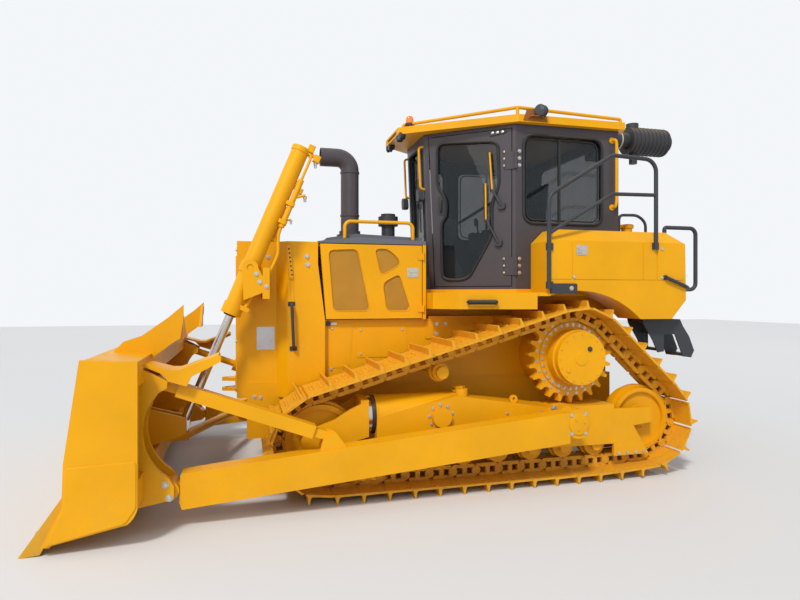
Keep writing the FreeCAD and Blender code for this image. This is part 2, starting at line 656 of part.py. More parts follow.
def main_frame(label):
    body = new_body(label)
    both(pad, body, box("body_rear + 40", "body_front", "rail_low", "rail_high"),
         "rail_in", "rail_out")
    pad(body, TOP, box("body_rear + 40", "body_front", "-rail_out", "rail_out"),
        "belly_height", "rail_low")
    pad(body, SIDE, ("circle", "pivot_reach", "pivot_height", "pivot_radius"),
        "-(track_centre - frame_half)", "track_centre - frame_half")
    pad(body, TOP, box("bar_reach - bar_half", "bar_reach + bar_half",
                       "-(track_centre - frame_half - 30)", "track_centre - frame_half - 30"),
        "bar_height - bar_half", "bar_height + bar_half")
    both(pad, body, box("housing_front", "nose_seam_low", "rail_high", "skirt_top"),
         "body_half - skirt_thick", "body_half")
    both(pad, body, box("housing_front", "nose_seam_low", "rail_high - 30", "rail_high"),
         "rail_out - 30", "body_half")
    # Rear plate with the drawbar's jaw and its pin bore
    pad(body, SIDE, box("body_rear - 60", "body_rear + 40", "belly_height", "rail_high - 10"),
        "-rail_out", "rail_out")
    for low in ("drawbar_low", "drawbar_low + drawbar_thick + drawbar_gap"):
        pad(body, TOP, [("drawbar_end", "-70"), ("body_rear - 60", "-drawbar_half"),
                        ("body_rear - 60", "drawbar_half"), ("drawbar_end", "70")],
            low, low + " + drawbar_thick")
    cut(body, TOP, ("circle", "drawbar_pin_reach", "0", "drawbar_pin_radius"),
        "drawbar_low - 10", "drawbar_low + 2 * drawbar_thick + drawbar_gap + 10")
    return body


def rear_housing(label):
    """Bevel gear case and final drive carrier."""
    body = new_body(label)
    pad(body, SIDE, [("body_rear", "rail_high + fit_gap"), ("housing_front - fit_gap",
                     "rail_high + fit_gap"), ("housing_front - fit_gap", "housing_top"),
                     ("-380", "housing_top"), ("body_rear", "1180")],
        "-body_half", "body_half")
    return body


def engine(label):
    body = new_body(label)
    pad(body, TOP, box("engine_rear", "engine_front", "-engine_half", "engine_half"),
        "engine_low", "engine_high")
    return body


def radiator_guard(label):
    """Hollow nose: side plates that step in ahead, a front frame and a top."""
    body = new_body(label)
    pad(body, SIDE, [("nose_seam_low", "nose_low"), ("nose_front", "nose_low"),
                     ("nose_front", "nose_high"), ("nose_seam_high", "nose_high"),
                     ("nose_seam_high", "nose_rear_low + 470"), ("nose_seam_low", "nose_rear_low")],
        "-nose_half", "nose_half")
    for sign in ("", "-"):
        out = sign + "(nose_half + 10)"
        turn, front = sign + "nose_half", sign + "nose_front_half"
        cut(body, TOP, [("nose_turn", out), ("nose_turn", turn), ("nose_step", front),
                        ("nose_front + 10", front), ("nose_front + 10", out)],
            "nose_low - 10", "nose_high + 10")
    # Radiator space, open ahead behind the grille
    cut(body, FRONT, box("-(nose_front_half - nose_wall)", "nose_front_half - nose_wall",
                         "nose_low + nose_wall", "nose_high - nose_wall"),
        "nose_seam_low - 10", "nose_front - nose_wall")
    cut(body, FRONT, box("-grille_half", "grille_half", "grille_low", "grille_high"),
        "nose_front - 40", "nose_front + 10")
    # Room for the belly frame below
    cut(body, FRONT, box("-(rail_out + fit_gap)", "rail_out + fit_gap", "nose_low - 10",
                         "rail_high + fit_gap"), "nose_seam_low - 10", "body_front + fit_gap")
    # Front towing jaw: two level plates with an upright pin bore
    pad(body, FRONT, box("-tow_lug - 25", "tow_lug + 25", "tow_height - 70", "tow_height + 70"),
        "nose_front - 5", "nose_front + 20")
    for low in ("tow_height - tow_lug", "tow_height + tow_lug - 30"):
        pad(body, TOP, [("nose_front + 15", "-80"), ("tow_reach", "-45"),
                        ("tow_reach", "45"), ("nose_front + 15", "80")], low, low + " + 30")
        pad(body, TOP, ("circle", "tow_reach", "0", "45"), low, low + " + 30")
    cut(body, TOP, ("circle", "tow_reach", "0", "tow_pin_radius"),
        "tow_height - tow_lug - 10", "tow_height + tow_lug + 10")
    return body


def grille(label):
    body = new_body(label)
    pad(body, FRONT, box("-(grille_half - fit_gap)", "grille_half - fit_gap",
                         "grille_low + fit_gap", "grille_high - fit_gap"),
        "nose_front - grille_thick", "nose_front")
    slot = cut(body, FRONT, box("-grille_slot_half", "grille_slot_half",
                                "grille_low + 40", "grille_low + 40 + grille_slot"),
               "nose_front - grille_thick - 10", "nose_front + 10")
    doc.recompute()
    row = body.newObject("PartDesign::LinearPattern", "slots")
    row.Originals = [slot]
    row.Direction = (slot.Profile[0], ["V_Axis"])
    row.setExpression("Length", bound("grille_high - grille_low - 80 - grille_slot"))
    row.setExpression("Occurrences", bound("grille_slot_count"))
    body.Tip = row
    return body


def yoke(label):
    """Bracket on the nose that carries one lift cylinder between two ears."""
    body = new_body(label)
    reach, height = "trunnion_reach", "trunnion_height"
    ear = [(reach + " + 50", "nose_low + 820"), (reach + " + yoke_radius", height),
           (reach + " - yoke_radius", height), (reach + " - 150", "nose_low + 900")]
    inner = "lift_side - yoke_gap"
    outer = "lift_side + yoke_gap + yoke_thick"
    for low, high in (("nose_front_half", inner), (outer + " - yoke_thick", outer)):
        pad(body, SIDE, ear, low, high)
        pad(body, SIDE, ("circle", reach, height, "yoke_radius"), low, high)
    pad(body, TOP, box(reach + " - 150", reach + " - 96", "nose_front_half", outer),
        "nose_low + 830", height)
    cut(body, SIDE, ("circle", reach, height, "trunnion_radius + 0.3"), inner + " - 40",
        outer + " + 10")
    return body


def hood(label):
    """Top of the engine cover with side frames round the door openings."""
    body = new_body(label)
    outline = [("hood_rear", "door_low - 8"), ("nose_seam_low - fit_gap", "door_low - 8"),
               ("nose_seam_high - fit_gap", "hood_front_top"), ("hood_peak", "hood_peak_top"),
               ("hood_rear", "hood_rear_top")]
    pad(body, SIDE, outline, "-hood_half", "hood_half")
    cut(body, FRONT, box("-(hood_half - hood_plate)", "hood_half - hood_plate",
                         "door_low - 20", "door_high - 20"), "hood_rear + hood_plate",
        "nose_seam_high + 20")
    opening = [("hood_rear + hood_plate", "door_low - 20"), ("nose_seam_high + 20",
               "door_low - 20"), ("nose_seam_high + 20", "door_high + door_gap"),
               ("hood_rear + hood_plate", "door_high + door_gap")]
    both(cut, body, opening, "hood_half - hood_plate - 10", "hood_half + 10")
    pad(body, SIDE, [("hood_rear", "hood_rear_top - 2"), ("hood_peak", "hood_peak_top - 2"),
                     ("nose_seam_high - 60", "hood_front_top"),
                     ("nose_seam_high - 90", "hood_front_top + hood_crown"),
                     ("hood_peak", "hood_peak_top + hood_crown"),
                     ("hood_rear", "hood_rear_top + hood_crown")],
        "-hood_crown_half", "hood_crown_half")
    return body


# The engine door's three openings, from front to rear: x, z and radius of each corner
DOOR_PANELS = (
    ((2050, 1452, 45), (2092, 1975, 45), (1838, 1988, 60), (1727, 1452, 45)),
    ((1690, 1995, 40), (1568, 1995, 40), (1465, 1905, 35), (1465, 1850, 30), (1634, 1758, 40)),
    ((1617, 1698, 45), (1465, 1780, 30), (1358, 1452, 45), (1584, 1452, 45)),
)


def engine_door(label):
    """Side door with three openings for its perforated panels."""
    body = new_body(label)
    rear = "hood_rear + hood_plate + door_gap"
    pad(body, SIDE, [(rear, "door_low"), ("door_front_low", "door_low"),
                     ("door_front_high", "door_high"), (rear, "door_high")],
        "hood_half - door_thick", "hood_half")
    for corners in DOOR_PANELS:
        cut(body, SIDE, softened(corners), "hood_half - door_thick - 10", "hood_half + 10")
    # Hinge knuckles at the rear edge
    for height in ("1440", "1900"):
        pad(body, TOP, ("circle", "engine_hinge_reach", "engine_hinge_side", "10"),
            height, height + " + 60")
        pad(body, TOP, box("engine_hinge_reach", "engine_hinge_reach + 50", "hood_half - 10",
                           "engine_hinge_side - 2"), height, height + " + 60")
        cut(body, TOP, box("engine_hinge_reach - 12", rear, "hood_half - 20",
                           "hood_half + fit_gap"), height, height + " + 60")
    # Perforated sheet in the openings, just behind the face
    pad(body, SIDE, box("1335", "2104", "1425", "2012"), "hood_half - 15", "hood_half - 10")
    return body


def exhaust(label):
    """Upright stack with a forward elbow, open at its mouth."""
    side, radius = size("stack_side"), size("stack_radius")
    bend, wall = size("stack_bend"), size("stack_wall")
    reach = size("stack_reach")
    base = size("hood_peak_top + hood_crown")
    top = size("stack_top")

    def pipe(inset, extra):
        straight = Part.makeCylinder(radius - inset, top - base + extra,
                                     FreeCAD.Vector(reach, side, base - extra))
        start = FreeCAD.Vector(reach, side, top)
        centre_line = Part.Arc(start,
                               FreeCAD.Vector(reach + bend * (1 - math.cos(math.pi / 4)), side,
                                              top + bend * math.sin(math.pi / 4)),
                               FreeCAD.Vector(reach + bend, side, top + bend)).toShape()
        ring = Part.Wire([Part.Circle(start, FreeCAD.Vector(0, 0, 1), radius - inset).toShape()])
        elbow = Part.Wire([centre_line]).makePipeShell([ring], True, False)
        mouth = Part.makeCylinder(radius - inset, size("stack_mouth") - reach - bend + extra,
                                  FreeCAD.Vector(reach + bend, side, top + bend),
                                  FreeCAD.Vector(1, 0, 0))
        return straight.fuse([elbow, mouth])

    solid = pipe(0, 0).cut(pipe(wall, 0))
    collar = Part.makeCylinder(radius + 14, 40, FreeCAD.Vector(reach, side, base))
    collar = collar.cut(Part.makeCylinder(radius - wall, 60, FreeCAD.Vector(reach, side, base - 5)))
    return shaped(label, solid.fuse(collar).removeSplitter())


def precleaner(label):
    body = new_body(label)
    centre = ("cleaner_reach", "cleaner_side")
    pad(body, TOP, ("circle",) + centre + ("cleaner_radius - 30",),
        "hood_rear_top + hood_crown + 13", "cleaner_top - 110")
    pad(body, TOP, ("circle",) + centre + ("cleaner_radius",), "cleaner_top - 110",
        "cleaner_top - 25")
    pad(body, TOP, ("circle",) + centre + ("cleaner_radius - 25",), "cleaner_top - 25",
        "cleaner_top")
    return body


def hood_rail(label):
    side = "hood_rail_side"
    path = [("hood_rail_rear", side, "hood_rear_top + 5.5"),
            ("hood_rail_rear", side, "hood_rail_top"),
            ("hood_rail_front", side, "hood_rail_top"),
            ("hood_rail_front", side, "hood_peak_top - 11")]
    return shaped(label, tube(path, size("hood_rail_radius"), size("hood_rail_bend")))


# The cab narrows ahead of its pillar along a slanted facet: half width lost per length
FACET = "((cab_half - cab_front_half) / (%s - cab_pillar))"


def cab_front(height):
    """How far forward the leaning front wall stands at a height."""
    rise = "(%s - cab_floor) / (cab_top - cab_floor)" % height
    return "(cab_front_low + %s * (cab_front_high - cab_front_low))" % rise


def steep(slope):
    """Length along a facet for one unit of x."""
    return "sqrt(1 + %s * %s)" % (slope, slope)


def cab_plan(front, inset):
    """Plan outline of the cab's wall, drawn in by inset."""
    slope = FACET % front
    near = "cab_front_half - %s * (%s - %s)" % (inset, steep(slope), slope)
    half = "cab_half - %s" % inset
    front_x = "%s - %s" % (front, inset)
    pillar = "cab_pillar - %s * (%s - 1) / %s" % (inset, steep(slope), slope)
    rear = "cab_rear + %s" % inset
    left = [(front_x, near), (pillar, half), (rear, half)]
    right = [(x, "-(%s)" % y) for x, y in reversed(left)]
    return left + right


def loft(body, kind, low, low_outline, high, high_outline):
    feature = body.newObject("PartDesign::" + kind, "loft")
    feature.Profile = new_sketch(body, TOP, low_outline, low)
    feature.Sections = [new_sketch(body, TOP, high_outline, high)]
    feature.Ruled = True
    return feature


def cab_shell(label):
    """Hollow cab with its windows and both doorways cut."""
    body = new_body(label)
    loft(body, "AdditiveLoft", "cab_floor", cab_plan("cab_front_low", "0"),
         "cab_top", cab_plan("cab_front_high", "0"))
    loft(body, "SubtractiveLoft", "cab_floor + cab_floor_plate",
         cab_plan("cab_front_low", "cab_wall"),
         "cab_top + 5", cab_plan("cab_front_high", "cab_wall"))
    both(cut, body, rounded("side_glass_rear", "side_glass_front", "side_glass_low",
                            "side_glass_high", "glass_corner"),
         "cab_half - cab_wall - 10", "cab_half + 10")
    cut(body, FRONT, rounded("-wind_half", "wind_half", "wind_low", "wind_high", "glass_corner"),
        "cab_front_low - cab_wall - 60", "cab_front_high + 40")
    cut(body, FRONT, rounded("-rear_glass_half", "rear_glass_half", "rear_glass_low",
                             "side_glass_high", "glass_corner"),
        "cab_rear - 10", "cab_rear + cab_wall + 10")
    doorway = [("cab_door_rear - cab_door_gap", "cab_door_low - cab_door_gap"),
               ("cab_door_front_low + cab_door_gap", "cab_door_low - cab_door_gap"),
               ("cab_door_front_high + cab_door_gap", "cab_door_high + cab_door_gap"),
               ("cab_door_rear - cab_door_gap", "cab_door_high + cab_door_gap")]
    both(cut, body, doorway, "cab_front_half - cab_wall", "cab_half + 20")
    return body


# The cab door's window, with a notch ahead for the handle: x, z and radius of each corner
DOOR_OPENING = (
    (990, 1729, 60), (1006, 2262, 40), (966, 2318, 40), (966, 2480, 60), (1038, 2600, 60),
    (1040, 3003, 50), (590, 2958, 50), (582, 2560, 60), (632, 2420, 60), (632, 2120, 240),
    (800, 1729, 170),
)


def door_plan(height, door_front):
    """Plan of the cab door: a panel along the facet, its free edge square to it."""
    slope = FACET % cab_front(height)
    outer_rear = "cab_half - (cab_door_rear - cab_pillar) * " + slope
    outer_front = "cab_half - (%s - cab_pillar) * %s" % (door_front, slope)
    return [("cab_door_rear", outer_rear),
            ("cab_door_rear", "%s - cab_wall * %s" % (outer_rear, steep(slope))),
            ("%s - cab_wall * %s / %s" % (door_front, slope, steep(slope)),
             "%s - cab_wall / %s" % (outer_front, steep(slope))),
            (door_front, outer_front)]


def cab_door(label):
    body = new_body(label)
    low = door_plan("cab_door_low", "cab_door_front_low")
    high = door_plan("cab_door_high", "cab_door_front_high")
    loft(body, "AdditiveLoft", "cab_door_low", low, "cab_door_high", high)
    cut(body, SIDE, softened(DOOR_OPENING), "cab_front_half - cab_wall - 60", "cab_half + 20")
    # Two hinges on the pillar: a knuckle each, with a strap to the door
    for height in ("cab_hinge_low", "cab_hinge_high"):
        outer = "cab_half - (%s - cab_pillar) * " + FACET % cab_front(height)
        high = height + " + cab_hinge_tall"
        pad(body, TOP, ("circle", "cab_hinge_reach", "cab_hinge_side", "hinge_radius"),
            height, high)
        pad(body, TOP, [("cab_hinge_reach", "cab_hinge_side + 8"),
                        ("cab_hinge_reach", "cab_hinge_side - 3"),
                        ("cab_door_rear", outer % "cab_door_rear" + " + 4"),
                        ("cab_door_rear + 4", outer % "cab_door_rear" + " - 14"),
                        ("cab_door_rear + 50", outer % "(cab_door_rear + 50)" + " - 12"),
                        ("cab_door_rear + 50", outer % "(cab_door_rear + 50)" + " + 8"),
                        ("cab_door_rear", outer % "cab_door_rear" + " + 12")], height, high)
    return body


def roof(label):
    body = new_body(label)

    def plan(inset):
        left = [("roof_front - %s" % inset, "roof_front_half - 0.5 * %s" % inset),
                ("roof_shoulder - 0.7 * %s" % inset, "roof_shoulder_half - 0.6 * %s" % inset),
                ("cab_pillar", "roof_half - %s" % inset),
                ("roof_rear + %s + 40" % inset, "roof_half - %s" % inset),
                ("roof_rear + %s" % inset, "roof_rear_half - %s" % inset)]
        return left + [(x, "-(%s)" % y) for x, y in reversed(left)]

    pad(body, TOP, plan("0"), "roof_low", "roof_high")
    pad(body, TOP, plan("roof_inset"), "roof_high", "roof_panel_high")
    # Bay for the front lamps
    cut(body, TOP, box("roof_front - lamp_bay_depth", "roof_front + 10", "-lamp_bay_half",
                       "lamp_bay_half"), "roof_low + lamp_bay_wall",
        "roof_high - lamp_bay_wall")
    return body


def roof_rail(label):
    """Bar along the roof's edge, on three feet."""
    height, foot = "roof_rail_height", "roof_high + fit_gap"
    path = [("roof_front - 60", "roof_front_half - 30", foot),
            ("roof_front - 60", "roof_front_half - 30", height),
            ("cab_pillar", "roof_half - 30", height + " + 30"),
            ("roof_rear + 70", "roof_half - 30", height),
            ("roof_rear + 70", "roof_half - 30", foot)]
    bar = tube(path, size("roof_rail_radius"), 40)
    post = rod_between(vector("cab_pillar", "roof_half - 30", foot),
                       vector("cab_pillar", "roof_half - 30", height + " + 30"),
                       size("roof_rail_radius"))
    return shaped(label, bar.fuse(post))


def operator_seat(label):
    body = new_body(label)
    rear = "seat_reach - seat_deep / 2"
    front = "seat_reach + seat_deep / 2"
    pad(body, SIDE, [(rear, "seat_height - seat_cushion"), (front, "seat_height - seat_cushion"),
                     (front, "seat_height"), (rear + " + 110", "seat_height"),
                     (rear + " - 10", "seat_back_top"), (rear + " - 110", "seat_back_top")],
        "-seat_half", "seat_half")
    pad(body, TOP, box(rear + " + 60", front + " - 60", "-150", "150"),
        "cab_floor + cab_floor_plate", "seat_height - seat_cushion")
    return body


def console(label):
    body = new_body(label)
    pad(body, SIDE, [("console_front - 230", "cab_floor + cab_floor_plate"),
                     ("console_front + 60", "cab_floor + cab_floor_plate"),
                     ("console_front + 60", "2150"), ("console_front - 30", "2330"),
                     ("console_front - 110", "2300"), ("console_front - 60", "2020")],
        "-console_half", "console_half")
    both(pad, body, box("-60", "420", "2080", "2260"), "300", "430")
    both(pad, body, box("60", "300", "cab_floor + cab_floor_plate", "2080"), "320", "410")
    return body


def cab_glass(label):
    """Panes of the side, rear and front windows, each in its opening."""
    body = new_body(label)
    side = rounded("side_glass_rear + fit_gap", "side_glass_front - fit_gap",
                   "side_glass_low + fit_gap", "side_glass_high - fit_gap", "glass_corner")
    both(pad, body, side, "cab_half - 22 - glass_thick", "cab_half - 22")
    pad(body, FRONT, rounded("-(rear_glass_half - fit_gap)", "rear_glass_half - fit_gap",
                             "rear_glass_low + fit_gap", "side_glass_high - fit_gap",
                             "glass_corner"), "cab_rear + 20", "cab_rear + 20 + glass_thick")
    return body


def windshield(label):
    """Front pane, leaning with the cab's front wall."""
    lean = math.atan2(size("cab_front_high - cab_front_low"), size("cab_top - cab_floor"))
    half, low, high = size("wind_half - fit_gap"), size("wind_low + 0.5"), size("wind_high - 0.5")
    corner = size("glass_corner")
    reach = size("cab_front_low - 24") + (low - size("cab_floor")) * math.tan(lean)
    tall = (high - low) / math.cos(lean)
    pane = Part.makeBox(size("glass_thick"), 2 * half, tall, FreeCAD.Vector(0, -half, 0))
    edges = [edge for edge in pane.Edges
             if abs(edge.Vertexes[0].X - edge.Vertexes[1].X) > 1]
    pane = pane.makeFillet(corner, edges)
    pane.rotate(FreeCAD.Vector(), FreeCAD.Vector(0, 1, 0), math.degrees(lean))
    pane.translate(FreeCAD.Vector(reach, 0, low))
    return shaped(label, pane)


def door_glass(label):
    """Pane along the slanted panel, cut to the outline of the door's opening."""
    pane = new_body(label + "_pane")
    rear, ahead = "(cab_door_rear + 40)", "(cab_door_front_low + 10)"

    def plan(height):
        line = "cab_half - 20 - (%s - cab_pillar) * " + FACET % cab_front(height)
        return [(rear, line % rear), (rear, line % rear + " - glass_thick"),
                (ahead, line % ahead + " - glass_thick"), (ahead, line % ahead)]

    low, high = "(cab_door_low + 20)", "(cab_door_high - 20)"
    loft(pane, "AdditiveLoft", low, plan(low), high, plan(high))
    outline = new_body(label + "_outline")
    pad(outline, SIDE, softened(DOOR_OPENING, size("fit_gap")), "cab_front_half - cab_wall - 60",
        "cab_half + 20")
    common = doc.addObject("Part::MultiCommon", label)
    common.Shapes = [pane, outline]
    common.Label = label
    return common


def fender(label):
    """Side box over the track with its arch, bevelled along the top."""
    body = new_body(label)
    pad(body, SIDE, [("fender_front", "fender_arch_low + 110"), ("fender_front", "fender_shoulder"),
                     ("fender_front - 110", "fender_high"), ("fender_rear", "fender_high"),
                     ("fender_end", "fender_shoulder"), ("fender_end - 9", "1546"),
                     ("fender_rear", "fender_low"), ("fender_arch_rear", "fender_low",
                                                    "fender_arch_radius")],
        "fender_inner", "fender_side")
    cut(body, FRONT, [("fender_side - fender_bevel", "fender_high + 1"),
                      ("fender_side + 10", "fender_high + 1"),
                      ("fender_side + 10", "fender_shoulder"),
                      ("fender_side", "fender_shoulder")],
        "fender_end - 40", "fender_front + 10")
    # Step deck under the cab door, out to the hood
    inside = "deck_inner"
    pad(body, TOP, box("tank_front + 40", "deck_front", inside, "track_inner"),
        "deck_low", "deck_high")
    plate = [("deck_front", inside), ("deck_front", "body_half + 240"),
             ("deck_front - 160", "1010"), ("fender_front - 20", "fender_side - 6"),
             ("fender_front - 20", "fender_inner + 20"), ("tank_front + 40", "fender_inner + 20"),
             ("tank_front + 40", inside)]
    pad(body, TOP, plate, "deck_high - deck_plate", "deck_high")
    pad(body, TOP, [("deck_front", "track_inner"), ("deck_front", "body_half + 240"),
                    ("deck_front - 160", "1010"), ("deck_skirt", "fender_side - 12"),
                    ("deck_skirt", "fender_side - 60"), ("deck_front - 190", "950"),
                    ("deck_front - 50", "body_half + 200"), ("deck_front - 50", "track_inner")],
        "deck_low", "deck_high - 5")
    return body


def cab_floor_frame(label):
    """Platform that carries the cab on the housing."""
    body = new_body(label)
    pad(body, TOP, box("tank_front + 20", "hood_rear - fit_gap", "-frame_inner",
                       "frame_inner"), "housing_top + fit_gap", "cab_floor - fit_gap")
    pad(body, TOP, [("tank_front + 20", "-(fender_inner - fit_gap)"),
                    ("cab_pillar", "-(fender_inner - fit_gap)"),
                    ("cab_front_low + 12", "-(cab_front_half + 12)"),
                    ("cab_front_low + 12", "cab_front_half + 12"),
                    ("cab_pillar", "fender_inner - fit_gap"),
                    ("tank_front + 20", "fender_inner - fit_gap")],
        "deck_high + fit_gap", "cab_floor - fit_gap")
    return body


def fuel_tank(label):
    """Rear tank between the side boxes, with its filler neck."""
    body = new_body(label)
    pad(body, SIDE, [("tank_front", "fender_low + 60"), ("tank_front", "fender_high"),
                     ("fender_rear", "fender_high"), ("tank_rear", "fender_shoulder"),
                     ("tank_rear - 9", "1546"), ("fender_rear", "fender_low + 60")],
        "-(fender_inner - fit_gap)", "fender_inner - fit_gap")
    pad(body, TOP, ("circle", "filler_reach", "filler_side", "filler_radius"),
        "fender_high", "filler_high")
    return body


def tank_rail(label):
    """Black guard rail beside the cab: posts, sloping top rail and a middle rail."""
    side = "rail_side"
    top = [("rail_front", side, "rail_foot"), ("rail_front", side, "rail_front_high"),
           ("rail_mid", side, "rail_mid_high"), ("rail_rear", side, "rail_rear_high"),
           ("rail_rear", side, "rail_rear_foot")]
    middle = [("rail_front", side, "rail_low_front"), ("rail_mid", side, "rail_low_mid"),
              ("rail_rear", side, "rail_low_mid + 8")]
    bar = tube(top, size("rail_radius"), 110)
    inner = tube(middle, size("rail_radius - 2"), 60)
    lugs = []
    depth = size("rail_side - fender_side - fit_gap")
    for reach, foot in (("rail_front - 40", "rail_foot"), ("rail_front - 40", "1960"),
                        ("rail_rear - 30", "rail_rear_foot")):
        lugs.append(Part.makeBox(size("rail_lug"), depth, size("rail_lug"),
                                 vector(reach, "fender_side + fit_gap", foot)))
    return shaped(label, bar.fuse([inner] + lugs).removeSplitter())


def grab_rail(label):
    """Bent bar at the rear corner of the box."""
    side = "grab_side"
    path = [("grab_front", side, "fender_high + fit_gap"), ("grab_front", side, "grab_high"),
            ("grab_back", side, "grab_high"), ("grab_back", side, "grab_low"),
            ("fender_end - 8", side, "grab_low")]
    return shaped(label, tube(path, size("rail_radius"), 60))


# Outline of the rear step's side plates: x, z
STEP = (("step_front", "fender_low - fit_gap"), ("step_front - 11", "1330"),
        ("-753", "1185"), ("-805", "step_low + 54"), ("-868", "step_low + 61"),
        ("-868", "1237"), ("-985", "1235"), ("-1070", "step_low + 11"),
        ("step_reach + 33", "step_low"), ("step_reach", "step_low + 63"),
        ("-1135", "1215"), ("-1070", "1307"), ("-1038", "1371"),
        ("fender_rear - 5", "fender_low - fit_gap"))
# Its treads: rear end, front end, underside
TREADS = (("step_reach + 33", "-1070", "step_low + 14"), ("-866", "-812", "step_low + 66"),
          ("-976", "-790", "1240"), ("fender_rear", "step_front - 10", "fender_low - 40"))


def rear_step(label):
    """Hanging step behind the track: two side plates and four treads."""
    body = new_body(label)
    for low in ("step_side_in", "step_side_out - step_plate"):
        pad(body, SIDE, STEP, low, low + " + step_plate")
    for rear, front, low in TREADS:
        pad(body, TOP, box(rear, front, "step_side_in", "step_side_out"), low,
            low + " + step_tread")
    return body


def rear_filter(label):
    """Round air filter unit behind the roof, on its neck."""
    body = new_body(label)
    axis = ("filter_side", "filter_height")
    pad(body, FRONT, ("circle",) + axis + ("filter_neck_radius",), "filter_front",
        "roof_rear - 30")
    pad(body, FRONT, ("circle",) + axis + ("filter_radius",), "filter_rear", "filter_front")
    pad(body, FRONT, ("circle",) + axis + ("filter_radius - 45",), "filter_rear - 45",
        "filter_rear")
    pad(body, TOP, ("circle", "filter_front - 70", "filter_side", "filter_cap_radius"),
        "filter_height", "filter_height + filter_radius + 40")
    pad(body, TOP, ("circle", "filter_front - 80", "filter_side", "40"),
        "filter_height - filter_radius - 95", "filter_height")
    pad(body, TOP, box("roof_rear - 30", "cab_rear - fit_gap", "filter_side - 60",
                       "filter_side + 60"), "cab_top - 150", "roof_low - fit_gap")
    pad(body, TOP, box("roof_rear - 60", "roof_rear - fit_gap", "filter_side - 60",
                       "filter_side + 60"), "cab_top - 150", "filter_height")
    return body


def push_arm(label):
    """Box arm outside the track, from the ball stud to the blade's lower corner."""
    body = new_body(label)
    pad(body, SIDE, [("arm_rear", "arm_rear_low"), ("arm_tip", "arm_tip_low"),
                     ("arm_tip + 20", "arm_tip_low + 60"), ("arm_front", "arm_tip_high"),
                     ("arm_front - 60", "arm_front_high"), ("arm_rear", "arm_rear_high")],
        "arm_inner", "arm_outer")
    pad(body, SIDE, ("circle", "lift_reach", "lift_height", "socket_radius"),
        "arm_inner - 8", "arm_outer")
    cut(body, SIDE, ("circle", "lift_reach", "lift_height", "ball_neck_radius + 0.5"),
        "arm_inner - 20", "arm_outer - 6")
    # Lug on top that takes the brace
    for low in ("brace_side - brace_eye_half - fit_gap - 20", "brace_side + brace_eye_half + fit_gap"):
        pad(body, SIDE, [("brace_rear_reach - 130", "460"), ("brace_rear_reach + 90", "440"),
                         ("brace_rear_reach + 50", "brace_rear_height + 20"),
                         ("brace_rear_reach - 30", "brace_rear_height + 40")], low, low + " + 20")
    # Ball at the front end
    pad(body, SIDE, ("circle", "joint_reach", "joint_height", "joint_radius"),
        "web_side_in + fit_gap", "web_side_out - fit_gap")
    pad(body, SIDE, box("arm_tip - 10", "joint_reach", "joint_height - 40", "joint_height + 40"),
        "brace_side - 40", "brace_side + 40")
    return body


# Outlines on the blade's back, as x, z: the bent guard over each brace, the flange on
# top of it, and the raised fin at each corner
GUARD = (("3450", "1125"), ("3322", "1066"), ("3270", "1009"), ("3155", "972"),
         ("3123", "1037"), ("2935", "1133"), ("2935", "1167"), ("2952", "1179"),
         ("3207", "1085"), ("3260", "1086"), ("3450", "1140"))
FLANGE = (("2952", "1179"), ("2946", "1161"), ("3204", "1067"), ("3262", "1068"),
          ("3450", "1122"), ("3450", "1140"), ("3260", "1086"), ("3207", "1085"))
FIN = (("3209", "fin_high"), ("3209", "1410"), ("3230", "1270"), ("3262", "1255"),
       ("3430", "blade_back_top - 40"), ("blade_top_reach - 45", "blade_top - 40"),
       ("3610", "1256"), ("3490", "1295"), ("3310", "1426"))


